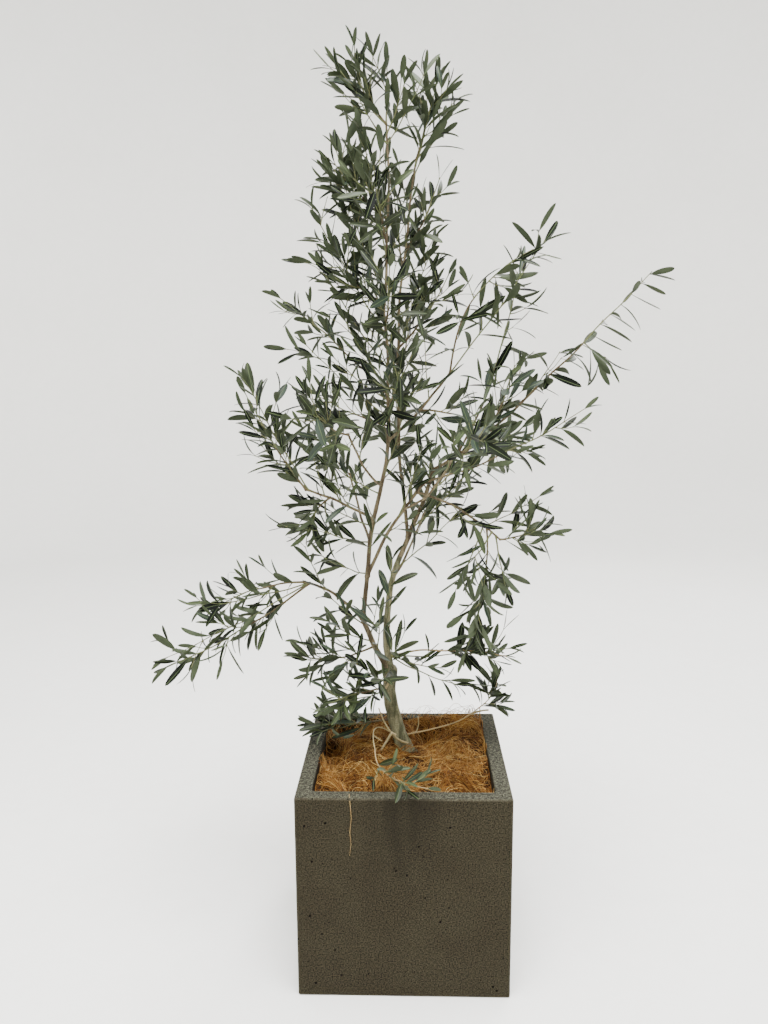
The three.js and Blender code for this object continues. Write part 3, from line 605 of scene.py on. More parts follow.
def leaves_of(shoot, mass):
    """Leaves in opposite pairs, each pair turned a quarter from the last, and a pair at the tip."""
    random = seeded(shoot.seed + LEAF_SEED)
    nodes = shoot.nodes()
    leaves = []
    for i, t in enumerate(nodes):
        turn = shoot.seed + i * math.pi / 2 + around_zero(random, LEAF_TURN_SPREAD)
        for opposite in (turn, turn + math.pi):
            out = shoot.curve.out(t, opposite)
            leaves.append(Leaf(mass, shoot, t, out, i == len(nodes) - 1, random))
    inside = within_reach(np.concatenate([leaf.edges() for leaf in leaves]), mass)
    return [leaf for leaf, fits in zip(leaves, inside.reshape(len(leaves), -1).all(1)) if fits]


def tone_of(draw, mass):
    """The tone that a random draw gives: most are dark, partly as painted shade, and fewer so in a
    fresh mass.
    """
    return int(np.searchsorted(TONE_SHARES, mass.fresh + (1 - mass.fresh) * draw))


def clear_leaves(shoots, mass):
    """The leaves of a mass that don't cut through each other, each with its tone, which is its
    spray's or a stray one."""
    kept, starts, spans = [], [], []
    for shoot in shoots:
        tone = tone_of(seeded(shoot.seed + SPRAY_TONE_SEED)(), mass)
        random = seeded(shoot.seed + LEAF_TONE_SEED)
        for leaf in leaves_of(shoot, mass):
            points = np.array([leaf.at(share) for share in LEAF_POINTS])[:, None]
            if kept and to_spans(points, np.array(starts), np.array(spans))[0].min() < LEAF_GAP:
                continue
            leaf.tone = tone if random() > STRAY_TONES else int(random() * len(TONE_SHARES))
            kept.append(leaf)
            starts.append(leaf.root)
            spans.append(leaf.at(1) - leaf.root)
    return kept


def nearest_mass(points):
    """The mass whose stem is nearest to some points for its size, and how near for its size."""
    shares = (MASS_LINES.near(points)[0] / REACHES).max(0)
    home = int(shares.argmin())
    return masses[home], shares[home]


def side_twigs(curve, first, spacing, length, radii, seed):
    """Leafy twigs straight from a limb or long shoot, each given to the mass nearest to it."""
    random = seeded(seed)
    count = int(curve.length * (1 - first) / spacing)
    for k in range(count):
        t = first + (1 - first) * (k + 0.5) / count
        way = side_way(curve, t, k, seed, LIMB_TWIG_RISE, random)
        reach = length * around_one(random, LIMB_TWIG_LENGTH_SPREAD)
        bow = reach * TWIG_SAG * around_zero(random, LIMB_TWIG_BOW_SPREAD) * UP
        twig = Curve(curve.at(t), curve.at(t) + way * reach, bow)
        points = twig.at(LIMB_TWIG_POINTS)
        home, nearness = nearest_mass(points)
        if clear(points).all() and nearness < LIMB_TWIG_REACH:
            home.shoots.append(Shoot(twig, seed * SEEDS_A_STEM + k, LIMB_TWIG_BARE, radii))


def long_shoot(seed, on, at, tip, bare=LONG_SHOOT_BARE):
    """A long shoot on a limb, with short twigs of its own."""
    curve = Curve(limbs[on].curve.at(at), tip, LONG_SHOOT_BOW)
    home, _ = nearest_mass(curve.at(TWIG_POINTS))
    home.shoots.append(Shoot(curve, seed, bare, LONG_SHOOT_RADII))
    side_twigs(curve, bare + FIRST_TWIG_PAST_BARE, LONG_SHOOT_SPACING, LONG_SHOOT_TWIG,
               LONG_SHOOT_TWIG_RADII, seed + LONG_SHOOT_TWIG_SEED)


for mass in masses:
    mass.shoots = shoots_of(mass)
for number, row in enumerate(LONG_SHOOTS):
    long_shoot(LONG_SHOOT_SEED + number, *row)
for number, (name, first) in enumerate(LEAFY_LIMBS.items()):
    side_twigs(limbs[name].curve, first, LIMB_TWIG_SPACING, LIMB_TWIG_LENGTH, LIMB_TWIG_RADII,
               LIMB_TWIG_SEED + LIMB_TWIG_SEED_STEP * number)
for mass in masses:
    mass.lines = Lines([mass.curve, *[shoot.curve for shoot in mass.shoots]])
    mass.leaves = clear_leaves(mass.shoots, mass)


def linear(red, green, blue):
    """A colour given as screen values from 0 to 255, as Blender wants it."""
    return (*[((v / 255 + 0.055) / 1.055) ** 2.4 for v in (red, green, blue)], 1.0)


def piece(name, vertices, faces, materials, tones=None, smooth=True):
    """A mesh object from corners in millimetres and faces, each face with its material's number."""
    mesh = bpy.data.meshes.new(name)
    corners = np.asarray(vertices, float) * MM
    mesh.from_pydata(corners.tolist(), [], [list(face) for face in faces])
    for material in materials:
        mesh.materials.append(material)
    if tones is not None:
        mesh.polygons.foreach_set("material_index", np.asarray(tones, np.int32))
    mesh.polygons.foreach_set("use_smooth", np.full(len(mesh.polygons), smooth))
    mesh.update()
    made = bpy.data.objects.new(name, mesh)
    bpy.context.scene.collection.objects.link(made)
    return made


class Maker:
    """Gathers the corners and faces of many small shapes into one mesh."""

    def __init__(self):
        self.vertices = []
        self.faces = []
        self.tones = []
        self.count = 0

    def add(self, vertices, faces, tones):
        self.start = self.count
        self.vertices.append(vertices)
        self.count += len(vertices)
        self.add_faces(faces, tones)

    def add_faces(self, faces, tones):
        """Adds faces on the corners of the shape that was added last."""
        self.faces.append(np.asarray(faces) + self.start)
        self.tones.append(np.broadcast_to(tones, len(faces)))

    def make(self, name, materials):
        faces = [face for group in self.faces for face in group.tolist()]
        return piece(name, np.concatenate(self.vertices), faces, materials,
                     np.concatenate(self.tones))


def ring_faces(rings, sides):
    """Faces between rings of corners."""
    here = np.arange((rings - 1) * sides).reshape(rings - 1, sides)
    beside = np.roll(here, -1, axis=1)
    return np.stack([here, beside, beside + sides, here + sides], -1).reshape(-1, 4)


def full_turn(sides):
    """Angles spread evenly over a full turn."""
    return 2 * np.pi * np.arange(sides) / sides


def spokes(side, over, sides):
    """Directions out of a line, all round each of its points."""
    turns = full_turn(sides)[None, :, None]
    return -np.cos(turns) * side[:, None] + np.sin(turns) * over[:, None]


def tube(centres, side, over, radii, sides):
    """Rings of corners round a line, and the faces between them. There is a row of radii for each
    ring, with one radius or one for each corner."""
    corners = centres[:, None] + spokes(side, over, sides) * (radii * np.ones(sides))[..., None]
    return corners.reshape(-1, 3), ring_faces(len(centres), sides)


# How far past its end each ring of a tube's dome is, as a share of the radius there
DOME = np.array((0.98, 0.75, 0.4))[:, None]


def domed_tube(curve, t, radii, sides):
    """A tube on a curve, with a dome at each end."""
    centres, along = curve.at(t), curve.along(t)
    before = centres[0] - along[0] * radii[0].mean() * DOME
    after = centres[-1] + along[-1] * radii[-1].mean() * DOME[::-1]
    smaller = np.sqrt(1 - DOME**2)
    radii = np.concatenate([radii[0] * smaller, radii, radii[-1] * smaller[::-1]])
    side, over = (
        np.concatenate([rows[:1].repeat(len(DOME), 0), rows, rows[-1:].repeat(len(DOME), 0)])
        for rows in curve.axes(t)
    )
    return tube(np.concatenate([before, centres, after]), side, over, radii, sides)


# Leaves: how far along each ring of corners is, and its share of the half width
STATIONS = np.array((0, 0.06, 0.16, 0.3, 0.47, 0.66, 0.83, 0.94, 1))
OUTLINE = np.array((0.07, 0.12, 0.46, 0.82, 1, 0.98, 0.79, 0.48, 0.05))
RIB_HALF_WIDTH = 0.42
RIB_SHARE = 0.4
BLADE_THICKNESS = 0.3
STALK_THICKNESS = 0.9
STALK_LENGTH = 0.08
RIB_TONE = 5
UNDER_TONE = 6
OWN_TONE = -1

# Twigs: their collars, and the knuckles where leaves grow
TWIG_SIDES = 6
TWIG_RING_SPACING = 4.5
TWIG_COLLAR = 0.5
TWIG_COLLAR_LENGTH = 4
KNUCKLE_HEIGHT = 0.32
KNUCKLE_LENGTH = 1.8
PALE_STEMS = {"leaves_front_rim", "leaves_basal_right", "leaves_low_right"}

# Limbs: how thick and thin ones differ, their collars, and the trunk's flutes and fork
THICK_LIMB = 9
THIN_LIMB = 4.1
LIMB_SIDES = dict(thin=12, middling=20, thick=28)
RING_SPACING = 2.2
THIN_RING_SPACING = 3.2
COLLAR_HEIGHT = 0.6
COLLAR_LENGTH = 0.9
COLLAR_BURIED = 0.6
FLUTING = 0.12
FLUTE_TWISTS = (90, 55)
FLUTE_START = -0.9
FORK_SWELL = 0.12
FORK_SWELL_LENGTH = 17
GREY_LIMBS = {"trunk", "right_stem_lower"}
PALE_LIMBS = {"front_shoot"}
PALE_LIMB_SHARE = 0.66

# Bark: knots, and the relief's sizes across and along the limb, shift and height
KNOT_SPACING = 42
KNOT_SIZE = 0.3
KNOT_SIZE_SPREAD = 0.25
KNOT_HEIGHT = 0.38
RIDGES = (5, 34, (0, 0, 0))
LUMPS = (14, 19, (7, 3, 5))
GRAIN = (1.9, 4.5, (1, 9, 4))
RIDGE_HEIGHT = 0.07
LUMP_HEIGHT = 0.07
GRAIN_HEIGHT = 0.16

# Dry twigs and cut stubs round the trunk's foot and below its fork: the foot and tip of each,
# its radii there, and its bow if it has one
DRY_TWIGS = [
    ((-20, 44, 415), (-27, 39, 423), (3.4, 3)),
    ((-26, 40, 421), (-48, 28, 389), (2.8, 2.5)),
    ((-22, 42, 414), (8, 62, 390), (2.2, 2.6), (0, 0, -3)),
    ((-26, 40, 421), (-52, 30, 481), (2, 1.2), (-3, 0, 0)),
    ((-62.5, -6, 436), (-45, -4, 424), (1.5, 1)),
    ((140, 65, 454), (178, 75, 459), (2, 1.8), (0, 0, 2)),
    ((25, 67.5, 411), (29, 64, 448), (1.3, 0.9), (3, 0, 0)),
    ((-28, 66, 531), (-38, 55, 514), (2.8, 2.4)),
    ((-33, 66, 545), (-40, 58, 525), (2.6, 2.2)),
]
DRY_TWIG_SIDES = 10
DRY_TWIG_RING_SPACING = 3
DRY_TWIG_COLLAR = 0.45
DRY_TWIG_COLLAR_LENGTH = 3.5
CUT_BULGE = 0.2


def leaf_corners(leaves):
    """Corners of every leaf: four across its upper side and three across its underside."""
    root, way, across, face, length, width, bend, fold, twist = (
        np.array([getattr(leaf, name) for leaf in leaves])[:, None]
        for name in ("root", "way", "across", "face", "length", "width", "bend", "fold", "twist")
    )
    bend = np.where(np.abs(bend) < NO_BEND, NO_BEND, bend)
    angle = bend * STATIONS
    forward = (length * np.sin(angle) / bend)[..., None]
    down = (length * (1 - np.cos(angle)) / bend)[..., None]
    centre = root + forward * way - down * face
    normal = np.cos(angle)[..., None] * face + np.sin(angle)[..., None] * way
    twisted = (twist * STATIONS)[..., None]
    over = np.cos(twisted) * across + np.sin(twisted) * normal
    normal = np.cos(twisted) * normal - np.sin(twisted) * across
    half = width / 2 * OUTLINE
    rib = np.minimum(RIB_HALF_WIDTH, RIB_SHARE * half)
    stalk = np.exp(-STATIONS / STALK_LENGTH)
    offsets = np.stack([-half, -rib, rib, half, half, 0 * half, -half], -1)
    heights = fold[..., None] * np.abs(offsets)
    heights[..., 5] = -(BLADE_THICKNESS + STALK_THICKNESS * stalk * np.ones_like(half))
    corners = centre[:, :, None] + offsets[..., None] * over[:, :, None]
    return corners + heights[..., None] * normal[:, :, None]


def leaf_faces(leaves):
    """Triangles of every leaf and the tone of each.

    The blade and the underside below it are cut along the same line, so they don't cross."""
    across, count = 7, len(STATIONS)
    strips = ((0, 1, OWN_TONE), (3, 2, OWN_TONE), (4, 5, UNDER_TONE), (6, 5, UNDER_TONE),
              (1, 2, RIB_TONE))
    faces, fixed = [], []
    for here in range(0, (count - 1) * across, across):
        after = here + across
        for edge, inner, tone in strips:
            halves = [(here + edge, here + inner, after + inner),
                      (here + edge, after + inner, after + edge)]
            faces += [half[::-1] for half in halves] if edge > inner else halves
            fixed += [tone, tone]
    starts = np.arange(len(leaves))[:, None, None] * across * count
    all_faces = (np.array(faces) + starts).reshape(-1, 3)
    tones = np.array([leaf.tone for leaf in leaves])[:, None]
    fixed = np.array(fixed)
    return all_faces, np.where(fixed == OWN_TONE, tones, fixed).reshape(-1)


def leaf_piece(name, group, materials):
    leaves = [leaf for mass in group for leaf in mass.leaves]
    faces, tones = leaf_faces(leaves)
    made = piece(name, leaf_corners(leaves).reshape(-1, 3), faces, materials, tones)
    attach(made, "root")
    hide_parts(*[mass.name for mass in group])
    return made


def shoot_tube(shoot):
    """A shoot's tube, with a collar at its foot and a knuckle wherever leaves grow."""
    length = shoot.curve.length
    t = np.linspace(0, 1, max(5, int(length / TWIG_RING_SPACING)))
    first, last = shoot.radii
    radii = first + (last - first) * t
    radii *= 1 + TWIG_COLLAR * np.exp(-t * length / TWIG_COLLAR_LENGTH)
    off = (t[:, None] - shoot.nodes()) * length / KNUCKLE_LENGTH
    radii += KNUCKLE_HEIGHT * np.exp(-(off**2)).sum(1)
    return domed_tube(shoot.curve, t, radii[:, None], TWIG_SIDES)


def twig_piece(name, group, materials):
    """Stems, brown at the foot and green at the tip or pale all along, and green twigs."""
    brown, green, pale = range(3)
    maker = Maker()
    for mass in group:
        for shoot in mass.shoots:
            corners, faces = shoot_tube(shoot)
            tones = np.full(len(faces), green)
            if shoot.order == 0:
                tones[: (len(faces) + 1) // 2] = brown
                if mass.name in PALE_STEMS:
                    tones[:] = pale
            maker.add(corners, faces, tones)
    made = maker.make(name, materials)
    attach(made, "root")
    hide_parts(*[mass.name for mass in group])
    return made


def pattern(point, across, along, shift):
    """A random pattern's value at a place, from about -1 to 1."""
    x, y, z = point
    return noise.noise(Vector((x / across, y / across, z / along)) + Vector(shift))


def relief(point, girth):
    """How far the bark stands out at a place, in mm: long ridges, lumps and a fine grain."""
    coarse = RIDGE_HEIGHT * pattern(point, *RIDGES) + LUMP_HEIGHT * pattern(point, *LUMPS)
    return girth * coarse + GRAIN_HEIGHT * pattern(point, *GRAIN)


def limb_tube(limb):
    """A limb with its bark's relief, a collar where it leaves another limb, and knots."""
    curve = limb.curve
    girth = max(limb.radii)
    thin = girth <= THIN_LIMB
    sides = LIMB_SIDES["thin" if thin else "middling" if girth <= THICK_LIMB else "thick"]
    count = int(curve.length / (THIN_RING_SPACING if thin else RING_SPACING))
    t = np.linspace(0, 1, count)
    gone = (t * curve.length)[:, None]
    slim = PALE_LIMB_SHARE if limb.name in PALE_LIMBS else 1
    radii = slim * np.repeat(limb.radius_at(t)[:, None], sides, 1)
    if limb.beside:
        past = np.maximum(0, gone - COLLAR_BURIED * float(limb.beside.radius_at(0.5)))
        radii *= 1 + COLLAR_HEIGHT * np.exp(-(past / (COLLAR_LENGTH * girth)) ** 2)
    turns = full_turn(sides)
    if limb.flare:
        radii *= 1 + FLUTING * np.cos(2 * turns + FLUTE_START + gone / FLUTE_TWISTS[0])
        radii *= 1 + 0.5 * FLUTING * np.cos(3 * turns + gone / FLUTE_TWISTS[1])
        to_fork = (curve.length - gone) / FORK_SWELL_LENGTH
        radii *= 1 + FORK_SWELL * np.exp(-to_fork**2)
    random = seeded(int(girth * 100) + count)
    for _ in range(int(curve.length / KNOT_SPACING)):
        at, turn = random() * curve.length, random() * 2 * np.pi
        size = girth * (KNOT_SIZE + KNOT_SIZE_SPREAD * random())
        around = np.angle(np.exp(1j * (turns - turn))) * radii[0, 0]
        radii += KNOT_HEIGHT * size * np.exp(-((gone - at) ** 2 + around**2) / size**2)
    surface = curve.at(t)[:, None] + spokes(*curve.axes(t), sides) * radii[..., None]
    radii += np.array([[relief(point, girth) for point in ring] for ring in surface])
    return domed_tube(curve, t, radii, sides)


def dry_twig(foot, tip, radii, bow=(0, 0, 0)):
    """A bare dry twig or a cut stub, whose cut end shows pale wood."""
    curve = Curve(foot, tip, bow)
    t = np.linspace(0, 1, max(6, int(curve.length / DRY_TWIG_RING_SPACING)))
    collar = 1 + DRY_TWIG_COLLAR * np.exp(-t * curve.length / DRY_TWIG_COLLAR_LENGTH)
    widths = (radii[0] + (radii[1] - radii[0]) * t) * collar
    sides = DRY_TWIG_SIDES
    corners, faces = tube(curve.at(t), *curve.axes(t), widths[:, None], sides)
    centre = curve.tip + CUT_BULGE * curve.along(1)
    start = len(corners) - sides
    cap = [(start + j, start + (j + 1) % sides, len(corners)) for j in range(sides)]
    return np.vstack([corners, centre]), faces, cap


def bark_piece(name, materials):
    """The trunk and every bough, with the dry twigs and cut stubs at the trunk's foot."""
    grey, brown, pale, cut = range(4)
    maker = Maker()
    for limb in limbs.values():
        corners, faces = limb_tube(limb)
        tone = grey if limb.name in GREY_LIMBS else pale if limb.name in PALE_LIMBS else brown
        maker.add(corners, faces, tone)
    for row in DRY_TWIGS:
        corners, faces, cap = dry_twig(*row)
        maker.add(corners, faces, pale)
        maker.add_faces(cap, cut)
    made = maker.make(name, materials)
    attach(made, "root")
    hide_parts(*limbs)
    return made


# Planter: pinholes and chips in its faces and edges
PINHOLES_IN_FRONT = [
    (-182, 346), (-143, 352), (-169, 275), (28, 307), (89, 307), (-14, 258), (6, 250), (40, 204),
    (84, 185), (68, 156), (-175, 165), (-153, 128), (-198, 117), (-166, 26), (168, 23), (175, 15),
    (-117, 43), (-129, 95), (85, 345),
]
PINHOLES_A_SIDE = 76
CHIPS = 26
CHIPS_ON_TOP = 0.65
FRONT_PINHOLE_RADII = (1.9, 2.9)
PINHOLE_RADII = (0.8, 1.7)
CHIP_RADII = (1.6, 2.8)
PINHOLE_GAP = 0.5
PITS_SEED = 5
PINHOLES_ALONG = 0.95
PINHOLES_UP = (0.03, 0.97)
CHIPS_ALONG = 0.97
CORNER_STEPS = 3
QUARTER_TURN = math.pi / 2
SOFT_TURNS = (0, 0.52, 1.05, QUARTER_TURN)


def rounded_square(half, corner, height):
    """A ring of corners: a square with rounded corners, seen from above."""
    points = []
    for quarter, (x_side, y_side) in enumerate(((1, 1), (-1, 1), (-1, -1), (1, -1))):
        for step in range(CORNER_STEPS + 1):
            turn = (quarter + step / CORNER_STEPS) * QUARTER_TURN
            x = x_side * (half - corner) + corner * math.cos(turn)
            y = y_side * (half - corner) + corner * math.sin(turn)
            points.append((x, y, height))
    return np.array(points)


def planter_shell():
    """The planter as rings: up its outside, over its rim and down its inside to the floor."""
    half = PLANTER_SIDE / 2
    inside = half - RIM_WIDTH
    soft = [(EDGE_SOFTENING * (1 - math.sin(a)), EDGE_SOFTENING * (1 - math.cos(a)))
            for a in SOFT_TURNS]
    outer = EDGE_SOFTENING + 1
    rings = [rounded_square(half - out, outer - out, up) for out, up in soft]
    rings += [rounded_square(half - out, outer - out, PLANTER_HEIGHT - up)
              for out, up in reversed(soft)]
    rings += [rounded_square(inside + out, CAVITY_CORNER + out, PLANTER_HEIGHT - up)
              for out, up in soft]
    rings.append(rounded_square(inside, CAVITY_CORNER, PLANTER_FLOOR))
    sides = len(rings[0])
    last = (len(rings) - 1) * sides
    faces = ring_faces(len(rings), sides).tolist()
    faces += [list(range(sides))[::-1], list(range(last, last + sides))]
    return np.concatenate(rings), faces


def pit_cutters(random):
    """Small balls that cut the pinholes of the sides and rim and the chips of the edges."""
    half = PLANTER_SIDE / 2
    places = [((x, -half, z), random.uniform(*FRONT_PINHOLE_RADII)) for x, z in PINHOLES_IN_FRONT]
    for side in range(4):
        for _ in range(PINHOLES_A_SIDE):
            along = random.uniform(-PINHOLES_ALONG, PINHOLES_ALONG) * half
            height = random.uniform(*PINHOLES_UP) * PLANTER_HEIGHT
            place = Matrix.Rotation(side * QUARTER_TURN, 3, "Z") @ Vector((along, -half, height))
            places.append((tuple(place), random.uniform(*PINHOLE_RADII)))
    for _ in range(CHIPS):
        along = random.uniform(-CHIPS_ALONG, CHIPS_ALONG) * half
        turn = Matrix.Rotation(random.integers(4) * QUARTER_TURN, 3, "Z")
        top = random.random() < CHIPS_ON_TOP
        place = (along, -half, PLANTER_HEIGHT) if top else (half, -half, half + along)
        places.append((tuple(turn @ Vector(place)), random.uniform(*CHIP_RADII)))
    kept = []
    for place, radius in places:
        if all(math.dist(place, other) > radius + size + PINHOLE_GAP for other, size in kept):
            kept.append((place, radius))
    return kept


def planter_piece(name, material, pit_shade_material):
    vertices, faces = planter_shell()
    made = piece(name, vertices, faces, [material], smooth=False)
    cutter_mesh = bpy.data.meshes.new("pit_cutters")
    balls = bmesh.new()
    for place, radius in pit_cutters(np.random.default_rng(PITS_SEED)):
        where = Matrix.Translation(Vector(place) * MM)
        bmesh.ops.create_icosphere(balls, subdivisions=1, radius=radius * MM, matrix=where)
    balls.to_mesh(cutter_mesh)
    balls.free()
    cutter_mesh.materials.append(pit_shade_material)
    cutter = bpy.data.objects.new("pit_cutters", cutter_mesh)
    bpy.context.scene.collection.objects.link(cutter)
    pits = made.modifiers.new("pits", "BOOLEAN")
    pits.operation = "DIFFERENCE"
    pits.solver = "EXACT"
    pits.material_mode = "TRANSFER"
    pits.object = cutter
    shaped = bpy.data.meshes.new_from_object(made.evaluated_get(bpy.context.evaluated_depsgraph_get()))
    made.modifiers.clear()
    made.data = shaped
    bpy.data.objects.remove(cutter)
    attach(made, "root")
    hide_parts("planter")
    return made


# Coir: the mat, with the hollows and heaps that the part leaves out
COIR_CELLS = 60
COIR_CLEARANCE = 0.4
COIR_SUNK = 1
COIR_OVER_SOIL = 4
COIR_SKIRT = 0.5
TUFT_SIZE = 9
TUFT_HEIGHT = 2.6
BANK_FOOT = 391
BANK_SLOPE = 0.9

# Each hollow's or heap's middle, its size across and how much higher the mat is there
COIR_LUMPS = [
    (-15, 92, 22, -19), (48, 106, 20, -19), (-96, 60, 26, -15), (-158, 60, 26, -16),
    (-133, 157, 22, -17), (171, 15, 9, -14), (172, -50, 9, -13), (172, 80, 9, -13),
    (20, 58, 27, -25), (-60, -160, 18, -9), (105, -165, 20, -8), (128, 142, 46, 21),
    (60, 156, 34, 15),
]

# Loose fibres: their swirl over the mat, sizes, and every so many that arches high
FIBRES = 2600
FIBRE_POINTS = 11
FIBRE_SIDES = 3
FIBRE_LENGTHS = (45, 130)
FIBRE_RADII = (0.28, 0.55)
FIBRE_TAPER = 0.55
ACROSS_FIBRES = np.array((0.31, 0.22, 0.92))
FIBRE_WANDER = 0.5
FIBRE_CURL = 0.22
FIBRE_CLEARANCE = 3
FIBRE_LIFTS = (1, 9)
ARCH_LIFTS = (12, 36)
ARCH_EVERY = 12
UNEVEN = (-0.6, 1.2)
SWIRL_SIZE = 95
SWIRL_LEVEL = 0.3
SWIRL_TURN = 5.2
EDDY_SCALE = 2.7
EDDY_TURN = 1.6

# Their colours: a share of the fibres for each, in the lit clumps and in the shade
CLUMP_SIZE = 46
CLUMP_LEVEL = -0.04
HOLLOW_BELOW = 371
LIT_SHARES = (0.07, 0.38, 0.33, 0.17, 0.05)
SHADED_SHARES = (0.01, 0.09, 0.22, 0.38, 0.3)

# One pale fibre hangs over the front of the rim
OVER_THE_RIM = [
    (-80, -90, 386), (-104, -133, 388), (-101, -168, 396), (-99, -192, 403), (-97, -202.5, 394),
    (-95, -203, 364), (-98, -203.5, 336), (-96, -203, 312), (-99, -203.5, 290),
]
OVER_THE_RIM_RADIUS = 0.3
FIBRE_SEEDS = dict(coir_fibres=21, coir_fibres_loose=22)


def bedding_height(x, y):
    """The top of the coir mat."""
    height = coir_height(x, y) - COIR_SUNK
    for middle_x, middle_y, across, rise in COIR_LUMPS:
        off = ((x - middle_x) ** 2 + (y - middle_y) ** 2) / across**2
        height = height + rise * np.exp(-off)
    from_wall = PLANTER_SIDE / 2 - RIM_WIDTH - np.maximum(np.abs(x), np.abs(y))
    height = np.minimum(height, BANK_FOOT + BANK_SLOPE * from_wall)
    return np.maximum(height, SOIL_TOP + COIR_OVER_SOIL)


def swirl(x, y):
    """The way that the fibres lie at a place, as an angle."""
    spot = Vector((x / SWIRL_SIZE, y / SWIRL_SIZE, SWIRL_LEVEL))
    eddy = noise.noise(spot * EDDY_SCALE + Vector((5, 2, 1)))
    return SWIRL_TURN * noise.noise(spot) + EDDY_TURN * eddy


def bedding_piece(name, material):
    """A lumpy mat under the loose fibres, with its sides down to the soil."""
    half = PLANTER_SIDE / 2 - RIM_WIDTH - COIR_CLEARANCE
    count = COIR_CELLS + 1
    shares = np.linspace(-1, 1, count) * half
    x, y = np.meshgrid(shares, shares, indexing="ij")
    tufts = [TUFT_HEIGHT * noise.noise(Vector((a / TUFT_SIZE, b / TUFT_SIZE, 2)))
             for a, b in zip(x.flat, y.flat)]
    z = bedding_height(x, y) + np.reshape(tufts, x.shape)
    top = np.stack([x, y, z], -1).reshape(-1, 3)
    place = np.arange(count * count).reshape(count, count)
    faces = np.stack([place[:-1, :-1], place[1:, :-1], place[1:, 1:], place[:-1, 1:]], -1)
    faces = faces.reshape(-1, 4).tolist()
    rim = [*place[:, 0], *place[-1, 1:], *place[-2::-1, -1], *place[0, -2:0:-1]]
    foot = top[rim] * (1, 1, 0) + (0, 0, SOIL_TOP + COIR_SKIRT)
    below = len(top) + np.arange(len(rim))
    for i, corner in enumerate(rim):
        after = (i + 1) % len(rim)
        faces.append([corner, below[i], below[after], rim[after]])
    made = piece(name, np.vstack([top, foot]), faces, [material])
    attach(made, "root")
    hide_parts("coir_mulch")
    return made


def fibre(random, lift):
    """One loose fibre: it follows the swirl over the coir, arching clear of it in the middle."""
    half = PLANTER_SIDE / 2 - RIM_WIDTH - FIBRE_CLEARANCE
    length = random.uniform(*FIBRE_LENGTHS)
    x, y = random.uniform(-half, half, 2)
    wander = random.normal(0, FIBRE_WANDER)
    curl = random.normal(0, FIBRE_CURL)
    points = []
    for i in range(FIBRE_POINTS):
        arch = lift * math.sin(math.pi * (i / (FIBRE_POINTS - 1)))
        angle = swirl(x, y) + wander + curl * i
        x = np.clip(x + math.cos(angle) * length / FIBRE_POINTS, -half, half)
        y = np.clip(y + math.sin(angle) * length / FIBRE_POINTS, -half, half)
        points.append((x, y, bedding_height(x, y) + arch + random.uniform(*UNEVEN)))
    return np.array(points)


def fibre_tube(points, radius):
    along = unit(np.gradient(points, axis=0))
    side = unit(np.cross(along, ACROSS_FIBRES))
    taper = radius * (1 - FIBRE_TAPER * np.linspace(-1, 1, len(points)) ** 4)
    return tube(points, side, np.cross(side, along), taper[:, None], FIBRE_SIDES)


def fibre_piece(name, materials, extra=()):
    random = np.random.default_rng(FIBRE_SEEDS[name])
    maker = Maker()
    for i in range(FIBRES):
        lift = random.uniform(*FIBRE_LIFTS) if i % ARCH_EVERY else random.uniform(*ARCH_LIFTS)
        points = fibre(random, lift)
        corners, faces = fibre_tube(points, random.uniform(*FIBRE_RADII))
        middle = Vector(points[FIBRE_POINTS // 2])
        # Fibres high on the mat and in the noise's clumps are dealt the paler colours, the rest the
        # darker ones: painted light and shade.
        lit = middle.z > HOLLOW_BELOW and noise.noise(middle / CLUMP_SIZE) > CLUMP_LEVEL
        shares = LIT_SHARES if lit else SHADED_SHARES
        maker.add(corners, faces, int(random.choice(len(materials), p=shares)))
    for points in extra:
        maker.add(*fibre_tube(np.array(points, float), OVER_THE_RIM_RADIUS), 0)
    made = maker.make(name, materials)
    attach(made, "root")
    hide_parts("coir_mulch")
    return made


# Materials


def new_group(name, inputs, output):
    """A node group that is empty but for its sockets, each with its kind."""
    tree = bpy.data.node_groups.new(name, "ShaderNodeTree")
    for socket, kind in inputs.items():
        tree.interface.new_socket(socket, in_out="INPUT", socket_type=kind)
    for socket, kind in output.items():
        tree.interface.new_socket(socket, in_out="OUTPUT", socket_type=kind)
    return tree


def node(tree, kind, output, given, **settings):
    """One output of a new node. Its inputs are given by name or number, as values or as other
    nodes' outputs to link to."""
    made = tree.nodes.new(kind)
    for key, value in settings.items():
        setattr(made, key, value)
    for key, value in given.items():
        if isinstance(value, bpy.types.NodeSocket):
            tree.links.new(value, made.inputs[key])
        else:
            made.inputs[key].default_value = value
    return made.outputs[output]


def maths(tree, operation, *given, clamp=False):
    inputs = dict(enumerate(given))
    return node(tree, "ShaderNodeMath", 0, inputs, operation=operation, use_clamp=clamp)


def vectors(tree, operation, *given):
    return node(tree, "ShaderNodeVectorMath", 0, dict(enumerate(given)), operation=operation)


def noise_at(tree, place, scale, detail):
    given = {"Vector": place, "Scale": scale, "Detail": detail}
    return node(tree, "ShaderNodeTexNoise", "Fac", given)


def ramp(tree, value, low, high, least=0.0, most=1.0):
    """A value spread from between low and high to between least and most, and kept there."""
    return node(tree, "ShaderNodeMapRange", 0, {0: value, 1: low, 2: high, 3: least, 4: most})


def blend(tree, share, first, second):
    """Two colours mixed. Sockets 6 and 7 of the Mix node are its colours, and 2 its colour out."""
    return node(tree, "ShaderNodeMix", 2, {0: share, 6: first, 7: second}, data_type="RGBA")


def place_in(tree):
    """A place on the object, in metres."""
    return node(tree, "ShaderNodeTexCoord", "Object", {})


def axes_of(tree, vector):
    """A vector's x, y and z."""
    return node(tree, "ShaderNodeSeparateXYZ", 0, {0: vector}).node.outputs


# The part of a noise's range that is spread out for the patches and the grain
PATCH_RANGE = (0.38, 0.64)
GRAIN_RANGE = (0.3, 0.7, -1.0, 1.0)


